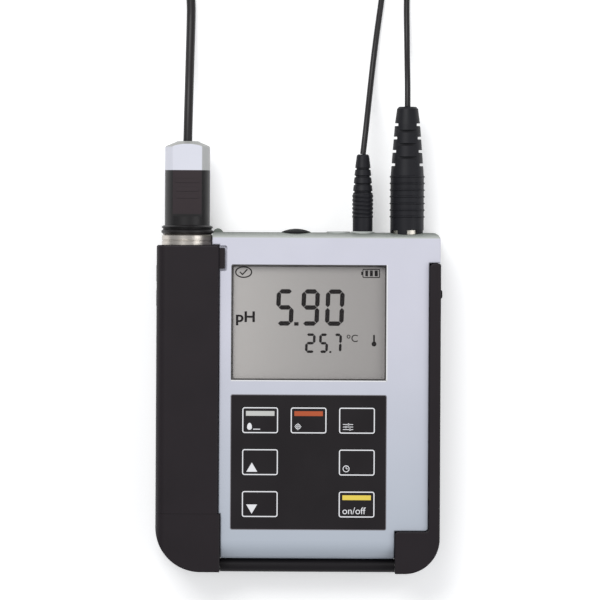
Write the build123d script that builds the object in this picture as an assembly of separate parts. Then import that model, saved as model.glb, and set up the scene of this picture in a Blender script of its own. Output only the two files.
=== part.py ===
from build123d import *
import os
from math import atan2, cos, degrees, pi, radians, sin, tan

# A portable pH meter that lies on its folded-back cover, with its electrode in the quiver.
# Millimetres: X to the right of the display, Y up the display, Z out of the display.
# The origin is the point of the resting face under the middle of the body.

# Body sizes
BODY_LEFT = -64.9
COLUMN_WIDTH = 28.5
DISPLAY_WIDTH = 71.1
DISPLAY_FROM_COLUMN = 5.6
RIGHT_OF_DISPLAY = 24.45
COLUMN_RIGHT = BODY_LEFT + COLUMN_WIDTH
DISPLAY_X = COLUMN_RIGHT + DISPLAY_FROM_COLUMN + DISPLAY_WIDTH / 2
BODY_RIGHT = COLUMN_RIGHT + DISPLAY_FROM_COLUMN + DISPLAY_WIDTH + RIGHT_OF_DISPLAY
BODY_TOP = 77.8
BODY_BOTTOM = -77.8
COVER_T = 2.4
REAR_GAP = 0.3
GUARD_Z = 30.0
FACE_RECESS = 2.2
SEAM = 0.25
WALL = 2.2
FACE_EDGE_R = 0.6
SPLIT_OVER_REAR = 5.8
REAR_Z = COVER_T + REAR_GAP
FACE_Z = GUARD_Z - FACE_RECESS
SPLIT_Z = REAR_Z + SPLIT_OVER_REAR
FACE_INSIDE_Z = FACE_Z - WALL
REAR_INSIDE_Z = REAR_Z + WALL

# Housing outline between the black guards
COLUMN_TOP = 71.6
LEFT_BLOCK_WIDTH = 29.4
LEFT_BLOCK_HEIGHT = 26.5
LEFT_BLOCK_LIFT = 0.4
LEFT_BLOCK_SEAM = 0.08
LEFT_BLOCK_R = 20.6
STRIP_WIDTH = 5.1
STRIP_TOP = 63.7
STRIP_R = 2.0
RIGHT_BLOCK_WIDTH = 20.35
RIGHT_BLOCK_HEIGHT = 19.3
RIGHT_BLOCK_R = 16.0
BLOCK_INNER_R = 1.6
GUARD_EDGE_R = 0.6
HOUSING_BOTTOM = -71.2
TOP_EAR_OVER_COLUMN = 3.1
TOP_RIGHT_R = 3.6
TOP_LEFT_R = 1.5
CROWN_DROP = 2.3
BOTTOM_ROLL_R = 8.2
LEFT_BLOCK_BOTTOM = BODY_BOTTOM + LEFT_BLOCK_LIFT
LEFT_BLOCK_TOP = LEFT_BLOCK_BOTTOM + LEFT_BLOCK_HEIGHT
LEFT_BLOCK_RIGHT = BODY_LEFT + LEFT_BLOCK_WIDTH
COLUMN_BOTTOM = LEFT_BLOCK_TOP + LEFT_BLOCK_SEAM
STRIP_LEFT = BODY_RIGHT - STRIP_WIDTH
RIGHT_BLOCK_LEFT = BODY_RIGHT - RIGHT_BLOCK_WIDTH
RIGHT_BLOCK_TOP = BODY_BOTTOM + RIGHT_BLOCK_HEIGHT
BUMP_R = 2.4
BUMP_RISE = 1.6

# Sockets in the top wall
SOCKET_Z = 16.0
PH_SOCKET_X = BODY_RIGHT - 15.45
TEMP_SOCKET_X = PH_SOCKET_X - 20.3
SPARE_SOCKET_X = TEMP_SOCKET_X - 11.1
CAP_SOCKET_X = SPARE_SOCKET_X - 19.3
SOCKET_DEPTH = 11.0

# Display and keypad
DISPLAY_Y = 36.4
DISPLAY_HEIGHT = 53.0
DISPLAY_R = 0.8
PANE_DEPTH = 0.8
PANE_LIP = 1.4
PANE_FLANGE_T = 1.2
KEYPAD_X = DISPLAY_X
KEYPAD_Y = -27.15
KEYPAD_WIDTH = 71.2
KEYPAD_HEIGHT = 61.7
KEYPAD_R = 0.9
KEYPAD_T = 0.6
KEY_WIDTH = 16.4
KEY_HEIGHT = 11.9
KEY_R = 1.1
KEY_PITCH_X = 22.05
KEY_PITCH_Y = 19.1
KEY_GAP = 0.15
KEY_TRAVEL = 0.5
KEY_FLANGE = 0.8
KEY_FLANGE_T = 0.6
KEY_STEM_R = 2.2
DOME_R = 3.4
DOME_RISE = 0.5
KEYS = {
    "key_measure": (-1, 1),
    "key_calibrate": (0, 1),
    "key_settings": (1, 1),
    "key_up": (-1, 0),
    "key_time": (1, 0),
    "key_down": (-1, -1),
    "key_power": (1, -1),
}

# Inner parts
BOARD_T = 1.6
BOARD_TOP_GAP = 4.0
BOARD_EDGE_GAP = 0.8
LCD_MARGIN = 1.5
LCD_FRAME_WALL = 1.6
LCD_T = 2.0
CELL_R = 7.25
CELL_LENGTH = 49.5
CELL_NUB_R = 2.6
CELL_NUB = 1.0
CELL_GAP = 0.4
CELL_COUNT = 4
BAY_WALL = 1.4
BAY_X = DISPLAY_X + 5.05
BAY_BOTTOM = -66.0
CONTACT_T = 0.5
CONTACT_SIZE = 9.0
SPRING_LENGTH = 3.2
DOOR_MARGIN = 2.4
DOOR_SCREW_TAB = 6.6
DOOR_SCREW_SPREAD = 18.0
DOOR_STEP = 1.5
DOOR_GAP = 0.25
SEAL_T = 0.3
BOARD_TOP = FACE_INSIDE_Z - BOARD_TOP_GAP
BOARD_BOTTOM = BOARD_TOP - BOARD_T
SCREW_PLACES = [
    (COLUMN_RIGHT + 5.2, BODY_TOP - 9.3),
    (BODY_RIGHT - 10.15, STRIP_TOP - 7.7),
    (BODY_RIGHT - 11.75, RIGHT_BLOCK_TOP + 8.0),
    (COLUMN_RIGHT + 7.9, HOUSING_BOTTOM + 6.7),
]
SCREW_R = 1.2
SCREW_CLEARANCE = 0.05
SCREW_HEAD_R = 2.4
SCREW_HEAD = 1.8
HOUSING_SCREW_LENGTH = 17.0
DOOR_SCREW_LENGTH = 6.3
DOOR_SCREW_HEAD = 0.7
BOSS_R = 3.2
GASKET_INSET = 0.7
GASKET_WIDTH = 0.8
GASKET_T = 0.8

# Rear hook
HOOK_X = DISPLAY_X - 0.75
HOOK_PIVOT_Y = 72.5
HOOK_PIVOT_Z = 4.4
HOOK_WIDTH = 26.0
HOOK_LENGTH = 46.0
HOOK_T = 2.4
HOOK_HUB_R = 1.6
HOOK_OPENING_WIDTH = 13.0
HOOK_OPENING_LENGTH = 27.0
HOOK_MOUTH = 9.0
HOOK_TIP = 7.0
HOOK_GAP = 0.4
HOOK_WALL = 1.2
HOOK_PIN_R = 0.9
HOOK_WELL = 7.2
RUNNING = 0.05

# Cover, its spine and their hinges
COVER_SIDE_INSET = 0.8
COVER_TOP = 72.0
COVER_TOP_R = 6.0
COVER_BOTTOM_R = 17.0
COVER_FIELD_DEPTH = 0.7
COVER_RIM = 4.0
COVER_CUT_MARGIN = 3.0
PANEL_KNUCKLE_R = 2.0
SPINE_BARREL_R = 3.05
SPINE_T = 3.0
SPINE_GAP = 0.15
SPINE_PIVOT_Y = HOUSING_BOTTOM - SPINE_BARREL_R - SPINE_GAP
SPINE_PIN_R = 1.5
SPINE_PIN_IN_BLOCK = 7.0
SPINE_PIN_IN_SPINE = 8.0
COVER_PIN_R = 0.8
CLOSED_GAP = 0.2
HINGE_GAP = 0.3
HINGE_END_GAP = 0.12
KNUCKLES = 5
LEFT_TAB = (43.2, 63.2)
RIGHT_TAB = (38.6, 58.6)
RIGHT_NUB = (47.7, 51.8)
TAB_PROUD = 0.6
NUB_PROUD = 1.2
THUMB_R = 9.0
PANEL_PIVOT_Z = PANEL_KNUCKLE_R
SPINE_PIVOT_Z = (PANEL_PIVOT_Z + GUARD_Z + CLOSED_GAP + PANEL_KNUCKLE_R) / 2

# Quiver
PROBE_X = (BODY_LEFT + COLUMN_RIGHT) / 2 - 0.5
PROBE_Z = (REAR_Z + GUARD_Z) / 2
COLUMN_OUTER_R = 5.0
COLUMN_INNER_R = 1.0
LINER_R = 9.0
LINER_WALL = 1.0
LINER_TOP = 65.5
LINER_BOTTOM = -46.0
RING_R = 11.6
RING_BORE_R = 9.5
RING_TOP = 76.5
RING_SEAT_R = 10.4
RING_SEAT_LENGTH = 5.0
CATCH_WIDTH = 2.65
CATCH_BOTTOM = 60.9
CATCH_HEIGHT = 9.5
CATCH_T = 1.4
CATCH_PROUD = 0.4
CATCH_POCKET_GAP = 1.1

# Electrode
GRIP_R = 10.3
GRIP_FLAT = 7.8
GRIP_TOP = 105.8
GRIP_FLAT_BOTTOM = 84.6
GRIP_FLAT_R = 3.0
CAP_SHOULDER_Y = 116.3
CAP_TOP = 119.1
CAP_TOP_R = 4.9
RIDGE_YS = (101.0, 97.1, 93.9)
RIDGE_LENGTH = 10.7
RIDGE_WIDTH = 1.8
RIDGE_RISE = 0.3
FLANGE_R = 11.85
FLANGE_TOP = 80.6
FLANGE_GROOVE_Y = 79.0
COLLAR_R = 9.2
COLLAR_BOTTOM = 66.8
SEAL_RING_R = 9.45
SEAL_RING_T = 2.2
SHAFT_R = 6.0
SHAFT_BOTTOM = -36.0
BULB_R = 3.6
BULB_RISE = 6.0

# Leads and plugs
CABLE_R = 2.05
LEAD_R = 1.35
PH_BOOT_TOP = 135.4
PH_BOOT_TOP_R = 4.85
PH_BOOT_NECK_Y = 127.2
PH_BOOT_NECK_R = 5.8
PH_BOOT_WAIST_Y = 103.4
PH_BOOT_R = 7.65
PH_BOOT_BOTTOM = 76.75
PH_SLOT_COUNT = 7
PH_SLOT_PITCH = 3.05
PH_SLOT_WIDTH = 1.3
PH_SLOT_DEPTH = 1.6
PH_RING_COUNT = 7
PH_RING_PITCH = 3.05
PH_RING_RISE = 0.4
PH_RING_WIDTH = 0.9
PH_WINDOW_COUNT = 5
PH_WINDOW_ANGLE = 37.0
PH_WINDOW_TOP = 78.9
PH_COLLAR_R = 6.7
PH_COLLAR_WALL = 0.8
PH_COLLAR_TOP = 92.0
PH_BARREL_R = 5.75
PH_BARREL_TOP = 86.0
PH_CORE_R = 2.4
PH_CONTACT_R = 0.8
PH_WINDOW_TURN = 18.0
TEMP_BOOT_TOP = 113.5
TEMP_BOOT_TOP_R = 2.85
TEMP_BOOT_NECK_Y = 107.4
TEMP_BOOT_NECK_R = 3.5
TEMP_BOOT_R = 4.55
TEMP_BOOT_BOTTOM = 78.35
TEMP_GRIP_TOP = 95.6
TEMP_GRIP_BOTTOM = 84.4
TEMP_GROOVE_COUNT = 4
TEMP_GROOVE_PITCH = 3.5
TEMP_GROOVE_WIDTH = 1.0
TEMP_GROOVE_DEPTH = 0.6
TEMP_BUMP_COUNT = 6
TEMP_BUMP_RISE = 0.25
TEMP_PIN_R = 2.0
TEMP_PIN_BOTTOM = 68.5
TEMP_BORE_R = 2.05
TEMP_BARREL_R = 4.2
TEMP_RIM_R = 5.5
TEMP_RIM = 0.45
CAP_R = 6.7
CAP_SEAT = 77.0
TEMP_SEAT = 77.2
SEAT_GAP = 0.15
SEAT_WALL = 1.8
CAP_RISE = 1.6
CAP_THREAD_R = 4.0
CAP_THREAD_RISE = 1.4
CAP_SOCKET_R = 5.4
SPLITTER_LENGTH = 22.0
SPLITTER_R = 4.2
SPLITTER_LEAD_SPREAD = 2.4
COIL_X = -26.5
COIL_Y = 216.5
COIL_R = 22.6
COIL_TURNS_WIDE = 3
COIL_LAYERS = 2
COIL_TOP = 2 * CABLE_R * COIL_LAYERS
COIL_HALF_WIDTH = CABLE_R * COIL_TURNS_WIDE
COIL_MEET = COIL_R + COIL_HALF_WIDTH + CABLE_R + 0.15
COIL_START_TURN = radians(200.8)
COIL_END_TURN = radians(60.0)

# Routes of the cable and the leads, each point chosen by hand
CABLE_ROUTE = [
    (PROBE_X, CAP_TOP + 0.1, PROBE_Z),
    (PROBE_X + 0.2, 131.0, 15.9),
    (PROBE_X + 0.5, 145.0, 12.2),
    (PROBE_X + 0.7, 159.0, 6.6),
    (PROBE_X + 1.0, 173.0, 2.9),
    (PROBE_X + 1.1, 184.5, 2.3),
    (PROBE_X - 0.8, 195.5, 2.1),
    (COIL_X + COIL_MEET * cos(COIL_START_TURN), COIL_Y + COIL_MEET * sin(COIL_START_TURN), 2.1),
]
TAIL_X = COIL_X + COIL_MEET * cos(COIL_END_TURN)
TAIL_Y = COIL_Y + COIL_MEET * sin(COIL_END_TURN)
TAIL_ROUTE = [
    (TAIL_X, TAIL_Y, 5.2),
    (TAIL_X + 4.7, TAIL_Y - 0.1, 4.6),
    (TAIL_X + 9.3, TAIL_Y - 0.4, SPLITTER_R),
]
SPLITTER_START = (TAIL_ROUTE[-1][0] + 0.15, TAIL_ROUTE[-1][1], SPLITTER_R)
SPLITTER_END = (SPLITTER_START[0] + SPLITTER_LENGTH, SPLITTER_START[1] - 1.2)
LEADS_X = SPLITTER_END[0] + 0.9
PH_LEAD_ROUTE = [
    (PH_SOCKET_X, PH_BOOT_TOP + 0.15, SOCKET_Z),
    (PH_SOCKET_X, 143.5, 15.2),
    (PH_SOCKET_X - 0.1, 152.0, 11.7),
    (PH_SOCKET_X - 0.2, 161.0, 6.6),
    (PH_SOCKET_X - 0.3, 171.0, 2.8),
    (PH_SOCKET_X - 0.5, 182.0, 1.6),
    (PH_SOCKET_X - 0.2, 195.0, 1.5),
    (PH_SOCKET_X - 0.9, 208.0, 1.6),
    (PH_SOCKET_X - 4.6, 220.5, 1.5),
    (PH_SOCKET_X - 11.4, 231.5, 1.8),
    (PH_SOCKET_X - 20.0, 241.2, 2.9),
    (LEADS_X, SPLITTER_END[1] + SPLITTER_LEAD_SPREAD, SPLITTER_R),
]
TEMP_LEAD_ROUTE = [
    (TEMP_SOCKET_X, TEMP_BOOT_TOP + 0.2, SOCKET_Z),
    (TEMP_SOCKET_X + 0.9, 121.5, 15.3),
    (TEMP_SOCKET_X + 1.8, 130.0, 12.4),
    (TEMP_SOCKET_X + 2.8, 139.5, 7.8),
    (TEMP_SOCKET_X + 3.9, 150.0, 3.7),
    (TEMP_SOCKET_X + 5.2, 161.5, 1.8),
    (TEMP_SOCKET_X + 6.8, 174.0, 1.5),
    (TEMP_SOCKET_X + 8.6, 187.0, 1.6),
    (TEMP_SOCKET_X + 9.3, 200.0, 1.5),
    (TEMP_SOCKET_X + 8.2, 212.5, 1.6),
    (TEMP_SOCKET_X + 4.6, 223.5, 1.7),
    (TEMP_SOCKET_X - 0.4, 234.3, 2.8),
    (LEADS_X, SPLITTER_END[1] - SPLITTER_LEAD_SPREAD, SPLITTER_R),
]


# Plain shapes

def block(x0, x1, y0, y1, z0, z1):
    """A box from its low corner to its high corner."""
    return Pos((x0 + x1) / 2, (y0 + y1) / 2, (z0 + z1) / 2) * Box(x1 - x0, y1 - y0, z1 - z0)


def pad(x, y, width, height, radius, z0, z1):
    """A flat plate with rounded corners, centred on x, y."""
    return extrude(Pos(x, y, z0) * RectangleRounded(width, height, radius), z1 - z0)


def bar_x(radius, y, z, x0, x1):
    return Pos((x0 + x1) / 2, y, z) * Rot(0, 90, 0) * Cylinder(radius, x1 - x0)


def bar_y(radius, x, z, y0, y1):
    return Pos(x, (y0 + y1) / 2, z) * Rot(90, 0, 0) * Cylinder(radius, y1 - y0)


def bar_z(radius, x, y, z0, z1):
    return Pos(x, y, (z0 + z1) / 2) * Cylinder(radius, z1 - z0)


def turned(outline, x, z):
    """A closed outline of (radius, y) points, turned about the line along Y through x, z."""
    return Pos(x, 0, z) * revolve(make_face(Polyline(*outline, close=True)), Axis.Y)


def joined(shapes):
    """All the shapes fused into one."""
    whole = None
    for shape in shapes:
        whole = shape if whole is None else whole + shape
    return whole


def rounded_outline(corners):
    """A face through corners of (x, y, radius), each rounded by its radius."""
    face = make_face(Polyline(*[corner[:2] for corner in corners], close=True))
    for x, y, radius in corners:
        if radius > 0:
            corner = face.vertices().sort_by_distance((x, y, 0))[0]
            face = fillet(corner, radius)
    return face


# The two shells of the housing share one outline seen from the front and one seen from the side

def housing_front_outline():
    left = COLUMN_RIGHT + SEAM
    left_low = LEFT_BLOCK_RIGHT + SEAM
    right = STRIP_LEFT - SEAM
    right_low = RIGHT_BLOCK_LEFT - SEAM
    ear_left = COLUMN_RIGHT - TOP_EAR_OVER_COLUMN
    return rounded_outline([
        (left_low, HOUSING_BOTTOM, 0),
        (right_low, HOUSING_BOTTOM, 0),
        (right_low, RIGHT_BLOCK_TOP + SEAM, 0),
        (right, RIGHT_BLOCK_TOP + SEAM, BLOCK_INNER_R - SEAM),
        (right, STRIP_TOP + SEAM, 0),
        (BODY_RIGHT - SEAM, STRIP_TOP + SEAM, 0),
        (BODY_RIGHT - SEAM, BODY_TOP, TOP_RIGHT_R),
        (ear_left, BODY_TOP, TOP_LEFT_R),
        (ear_left, COLUMN_TOP + SEAM, 0),
        (left, COLUMN_TOP + SEAM, 0),
        (left, LEFT_BLOCK_TOP + SEAM, 0),
        (left_low, LEFT_BLOCK_TOP + SEAM, 0),
    ])


def crown_drop(z):
    """How far the crowned top wall lies under its highest line at a height z."""
    reach = FACE_Z - SOCKET_Z
    radius = (reach ** 2 + CROWN_DROP ** 2) / (2 * CROWN_DROP)
    return radius - (radius ** 2 - (z - SOCKET_Z) ** 2) ** 0.5


def housing_side_outline():
    """The side view with y to the right and z up: a crowned top wall and a rolled front bottom edge."""
    roll_y = HOUSING_BOTTOM + BOTTOM_ROLL_R
    roll_z = FACE_Z - BOTTOM_ROLL_R
    front_top = (BODY_TOP - CROWN_DROP, FACE_Z)
    rear_top = (BODY_TOP - crown_drop(REAR_Z), REAR_Z)
    roll_middle = (roll_y - BOTTOM_ROLL_R * cos(pi / 4), roll_z + BOTTOM_ROLL_R * sin(pi / 4))
    return make_face([
        Line((HOUSING_BOTTOM, REAR_Z), (HOUSING_BOTTOM, roll_z)),
        ThreePointArc((HOUSING_BOTTOM, roll_z), roll_middle, (roll_y, FACE_Z)),
        Line((roll_y, FACE_Z), front_top),
        ThreePointArc(front_top, (BODY_TOP, SOCKET_Z), rear_top),
        Line(rear_top, (HOUSING_BOTTOM, REAR_Z)),
    ])


def housing_solid(inset, low_z, high_z):
    """The housing's outer form, or that form moved inwards by inset, between two heights."""
    front = offset(housing_front_outline(), -inset, kind=Kind.INTERSECTION) if inset else housing_front_outline()
    side = offset(housing_side_outline(), -inset, kind=Kind.INTERSECTION) if inset else housing_side_outline()
    standing = extrude(Pos(0, 0, low_z) * front, high_z - low_z)
    lying = extrude(Plane.YZ.offset(BODY_LEFT) * side, BODY_RIGHT - BODY_LEFT)
    return standing & lying


def rim_ring(inset, width, low_z, high_z):
    """A ring that follows the housing's outline, just inside it."""
    return housing_solid(inset, low_z, high_z) - housing_solid(inset + width, low_z - 1, high_z + 1)


# The housing

def bay_size():
    """The battery bay's inner left, right, bottom and top."""
    half = (CELL_COUNT * 2 * CELL_R + (CELL_COUNT + 1) * CELL_GAP) / 2
    top = BAY_BOTTOM + CELL_LENGTH + CELL_NUB + SPRING_LENGTH + 2 * CONTACT_T
    return BAY_X - half, BAY_X + half, BAY_BOTTOM, top


def cell_places():
    left = bay_size()[0] + CELL_GAP + CELL_R
    return [left + i * (2 * CELL_R + CELL_GAP) for i in range(CELL_COUNT)]


def door_size():
    left, right, bottom, top = bay_size()
    return left - DOOR_MARGIN, right + DOOR_MARGIN, bottom - DOOR_MARGIN, top + DOOR_SCREW_TAB


def door_screw_places():
    y = bay_size()[3] + DOOR_SCREW_TAB / 2 + BAY_WALL / 2
    return [(BAY_X - DOOR_SCREW_SPREAD, y), (BAY_X + DOOR_SCREW_SPREAD, y)]


def key_places():
    return {name: (DISPLAY_X + i * KEY_PITCH_X, KEYPAD_Y + j * KEY_PITCH_Y) for name, (i, j) in KEYS.items()}


def top_holes():
    """The holes that the sockets sit in, through the top wall."""
    holes = [
        (CAP_SOCKET_X, CAP_SOCKET_R),
        (SPARE_SOCKET_X, TEMP_BARREL_R),
        (TEMP_SOCKET_X, TEMP_BARREL_R),
        (PH_SOCKET_X, PH_BARREL_R),
    ]
    return [bar_y(r + RUNNING, x, SOCKET_Z, BODY_TOP - 3 * WALL, BODY_TOP + WALL) for x, r in holes]


def spot_faces():
    """Flat round seats, sunk into the crowned top wall, for the sockets' rims and the caps."""
    seats = [
        (CAP_SOCKET_X, CAP_R, CAP_SEAT),
        (SPARE_SOCKET_X, TEMP_RIM_R, TEMP_SEAT),
        (TEMP_SOCKET_X, TEMP_RIM_R, TEMP_SEAT),
        (PH_SOCKET_X, PH_BOOT_R, PH_BOOT_BOTTOM - SEAT_GAP),
    ]
    return [bar_y(r + 2 * SEAT_GAP, x, SOCKET_Z, y, BODY_TOP + WALL) for x, r, y in seats]


def ring_room():
    """The room that the housing leaves for the quiver's ring and the electrode's flange."""
    return bar_y(FLANGE_R + SEAM, PROBE_X, PROBE_Z, COLUMN_TOP, BODY_TOP + FLANGE_R)


def make_front_shell():
    outer = housing_solid(0, SPLIT_Z, FACE_Z)
    roll_edge_y = HOUSING_BOTTOM + BOTTOM_ROLL_R
    front_edges = [
        edge for edge in outer.edges().filter_by_position(Axis.Z, FACE_Z - 0.001, FACE_Z + 0.001)
        if edge.center().Y > roll_edge_y + 0.001
    ]
    shell = fillet(front_edges, FACE_EDGE_R) - housing_solid(WALL, SPLIT_Z - 1, FACE_INSIDE_Z)
    bosses = [bar_z(BOSS_R, x, y, SPLIT_Z, FACE_INSIDE_Z) for x, y in SCREW_PLACES]
    seat_floor = PH_BOOT_BOTTOM - SEAT_GAP
    bosses.append(bar_y(PH_BOOT_R + SEAT_WALL, PH_SOCKET_X, SOCKET_Z, seat_floor - 2 * SEAT_WALL, BODY_TOP))
    shell += joined(bosses) & housing_solid(0, SPLIT_Z, FACE_Z)
    for x, y in SCREW_PLACES:
        shell -= bar_z(SCREW_R + SCREW_CLEARANCE, x, y, SPLIT_Z - 1, FACE_INSIDE_Z - SCREW_CLEARANCE)
    shell -= pad(DISPLAY_X, DISPLAY_Y, DISPLAY_WIDTH, DISPLAY_HEIGHT, DISPLAY_R, FACE_INSIDE_Z - 1, FACE_Z + 1)
    shell -= pad(KEYPAD_X, KEYPAD_Y, KEYPAD_WIDTH, KEYPAD_HEIGHT, KEYPAD_R, FACE_Z - KEYPAD_T, FACE_Z + 1)
    for x, y in key_places().values():
        width, height = KEY_WIDTH + 2 * KEY_GAP, KEY_HEIGHT + 2 * KEY_GAP
        shell -= pad(x, y, width, height, KEY_R, FACE_INSIDE_Z - 1, FACE_Z + 1)
    pocket_right = COLUMN_RIGHT + CATCH_WIDTH + CATCH_POCKET_GAP
    shell -= pad(
        (COLUMN_RIGHT - BOSS_R + pocket_right) / 2,
        CATCH_BOTTOM + CATCH_HEIGHT / 2,
        pocket_right - COLUMN_RIGHT + BOSS_R,
        CATCH_HEIGHT + 2 * CATCH_POCKET_GAP,
        CATCH_POCKET_GAP,
        FACE_Z - CATCH_T,
        FACE_Z + 1,
    )
    for cut in top_holes() + spot_faces():
        shell -= cut
    ear_middle = COLUMN_RIGHT - TOP_EAR_OVER_COLUMN + BUMP_R
    bump = bar_z(BUMP_R, ear_middle, BODY_TOP - BUMP_R + BUMP_RISE, SPLIT_Z, SOCKET_Z)
    low_y = BODY_TOP - crown_drop(SPLIT_Z) - WALL / 2
    shell += bump & block(BODY_LEFT, BODY_RIGHT, low_y, BODY_TOP + BUMP_R, SPLIT_Z, SOCKET_Z)
    return shell - ring_room()


def hook_recess_size():
    """The left, right and bottom of the rear recess that the hook folds into."""
    half = HOOK_WIDTH / 2 + HOOK_GAP
    return HOOK_X - half, HOOK_X + half, HOOK_PIVOT_Y - HOOK_LENGTH - HOOK_GAP


def hook_opening():
    """The centre, width and length of the opening inside the hook, when the hook is folded away."""
    y = HOOK_PIVOT_Y - HOOK_LENGTH + HOOK_TIP + HOOK_OPENING_LENGTH / 2
    return HOOK_X, y, HOOK_OPENING_WIDTH, HOOK_OPENING_LENGTH


def make_rear_shell():
    outer = housing_solid(0, REAR_Z, SPLIT_Z)
    rear_edges = outer.edges().filter_by_position(Axis.Z, REAR_Z - 0.001, REAR_Z + 0.001)
    shell = fillet(rear_edges, FACE_EDGE_R) - housing_solid(WALL, REAR_INSIDE_Z, SPLIT_Z + 1)
    left, right, bottom, top = bay_size()
    bay = block(left - BAY_WALL, right + BAY_WALL, bottom - BAY_WALL, top + BAY_WALL, REAR_Z + DOOR_STEP, BOARD_BOTTOM - SEAM)
    bay -= block(left, right, bottom, top, REAR_Z, BOARD_BOTTOM)
    shell += bay & housing_solid(0, REAR_Z, SPLIT_Z)
    shell += joined([bar_z(BOSS_R, x, y, REAR_INSIDE_Z, SPLIT_Z) for x, y in SCREW_PLACES]) & housing_solid(0, REAR_Z, SPLIT_Z)
    shell += joined([bar_z(BOSS_R, x, y, REAR_INSIDE_Z, REAR_INSIDE_Z + 4 * SCREW_HEAD) for x, y in door_screw_places()])
    recess_left, recess_right, recess_bottom = hook_recess_size()
    recess_top_z = HOOK_PIVOT_Z + HOOK_HUB_R + HOOK_GAP
    opening_x, opening_y, opening_width, opening_length = hook_opening()
    roof = block(
        recess_left - HOOK_WALL, recess_right + HOOK_WALL, recess_bottom - HOOK_WALL, BODY_TOP - WALL,
        REAR_INSIDE_Z, recess_top_z + HOOK_WALL,
    )
    well_half = opening_width / 2
    roof += block(
        opening_x - well_half - HOOK_WALL, opening_x + well_half + HOOK_WALL,
        opening_y - opening_length / 2 - HOOK_WALL, opening_y + opening_length / 2 + HOOK_WALL,
        REAR_INSIDE_Z, HOOK_WELL + HOOK_WALL,
    )
    shell += roof
    shell -= block(recess_left, recess_right, recess_bottom, BODY_TOP + 1, REAR_Z - 1, recess_top_z)
    shell -= block(
        opening_x - well_half, opening_x + well_half, opening_y - opening_length / 2, opening_y + opening_length / 2,
        REAR_Z, HOOK_WELL,
    )
    shell -= bar_x(HOOK_PIN_R, HOOK_PIVOT_Y, HOOK_PIVOT_Z, recess_left - HOOK_WALL - 2, recess_right + HOOK_WALL + 2)
    shell -= block(left, right, bottom, top, REAR_Z - 1, REAR_INSIDE_Z + 1)
    door_left, door_right, door_bottom, door_top = door_size()
    shell -= block(door_left, door_right, door_bottom, door_top, REAR_Z - 1, REAR_Z + DOOR_STEP)
    for x, y in SCREW_PLACES + door_screw_places():
        shell -= bar_z(SCREW_R + SCREW_CLEARANCE, x, y, REAR_Z - 1, SPLIT_Z + 1)
    for x, y in SCREW_PLACES:
        shell -= bar_z(SCREW_HEAD_R + SEAM, x, y, REAR_Z - 1, REAR_Z + SCREW_HEAD + SEAM)
    for cut in spot_faces():
        shell -= cut
    return shell - rim_ring(GASKET_INSET, GASKET_WIDTH, SPLIT_Z - GASKET_T, SPLIT_Z) - ring_room()


def make_gasket():
    return rim_ring(GASKET_INSET, GASKET_WIDTH, SPLIT_Z - GASKET_T, SPLIT_Z)


def make_screws(places, low_z, length, head):
    """Slotted screws with their heads at the back."""
    screws = []
    for x, y in places:
        screw = bar_z(SCREW_HEAD_R, x, y, low_z, low_z + head) + bar_z(SCREW_R, x, y, low_z + head, low_z + length)
        screws.append(screw - block(x - SCREW_HEAD_R, x + SCREW_HEAD_R, y - 0.4, y + 0.4, low_z - 1, low_z + 0.5 * head))
    return Compound(children=screws)


# Display and keypad

def make_display_pane():
    top_z = FACE_Z - PANE_DEPTH
    gap = 0.1
    raised = pad(DISPLAY_X, DISPLAY_Y, DISPLAY_WIDTH - 2 * gap, DISPLAY_HEIGHT - 2 * gap, DISPLAY_R, FACE_INSIDE_Z, top_z)
    flange_z = FACE_INSIDE_Z - PANE_FLANGE_T
    flange = pad(
        DISPLAY_X, DISPLAY_Y, DISPLAY_WIDTH + 2 * PANE_LIP, DISPLAY_HEIGHT + 2 * PANE_LIP, DISPLAY_R, flange_z, FACE_INSIDE_Z
    )
    return raised + flange


def make_lcd():
    low = FACE_INSIDE_Z - PANE_FLANGE_T - SEAM - LCD_T
    return pad(DISPLAY_X, DISPLAY_Y, DISPLAY_WIDTH - 2, DISPLAY_HEIGHT - 2, DISPLAY_R, low, low + LCD_T)


def make_lcd_frame():
    top = FACE_INSIDE_Z - PANE_FLANGE_T - SEAM
    width = DISPLAY_WIDTH + 2 * LCD_MARGIN
    height = DISPLAY_HEIGHT + 2 * LCD_MARGIN
    frame = pad(DISPLAY_X, DISPLAY_Y, width, height, DISPLAY_R, BOARD_TOP, top)
    frame -= pad(DISPLAY_X, DISPLAY_Y, width - 2 * LCD_FRAME_WALL, height - 2 * LCD_FRAME_WALL, DISPLAY_R, BOARD_TOP - 1, top + 1)
    ledge = pad(DISPLAY_X, DISPLAY_Y, width - 1, height - 1, DISPLAY_R, BOARD_TOP, top - LCD_T)
    ledge -= pad(DISPLAY_X, DISPLAY_Y, DISPLAY_WIDTH - 6, DISPLAY_HEIGHT - 6, DISPLAY_R, BOARD_TOP - 1, top)
    return frame + ledge


def make_keypad():
    gap = 0.08
    sheet = pad(KEYPAD_X, KEYPAD_Y, KEYPAD_WIDTH - 2 * gap, KEYPAD_HEIGHT - 2 * gap, KEYPAD_R, FACE_Z - KEYPAD_T, FACE_Z)
    for x, y in key_places().values():
        sheet -= pad(x, y, KEY_WIDTH + 2 * KEY_GAP, KEY_HEIGHT + 2 * KEY_GAP, KEY_R, FACE_Z - 2 * KEYPAD_T, FACE_Z + 1)
    return sheet


def make_key(x, y):
    flange_top = FACE_INSIDE_Z - 0.1
    stem_end = BOARD_TOP + DOME_RISE + KEY_TRAVEL + 0.1
    top = pad(x, y, KEY_WIDTH, KEY_HEIGHT, KEY_R, flange_top - KEY_FLANGE_T, FACE_Z)
    flange = pad(
        x, y, KEY_WIDTH + 2 * KEY_FLANGE, KEY_HEIGHT + 2 * KEY_FLANGE, KEY_R, flange_top - KEY_FLANGE_T, flange_top
    )
    return top + flange + bar_z(KEY_STEM_R, x, y, stem_end, flange_top - KEY_FLANGE_T)


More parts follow.
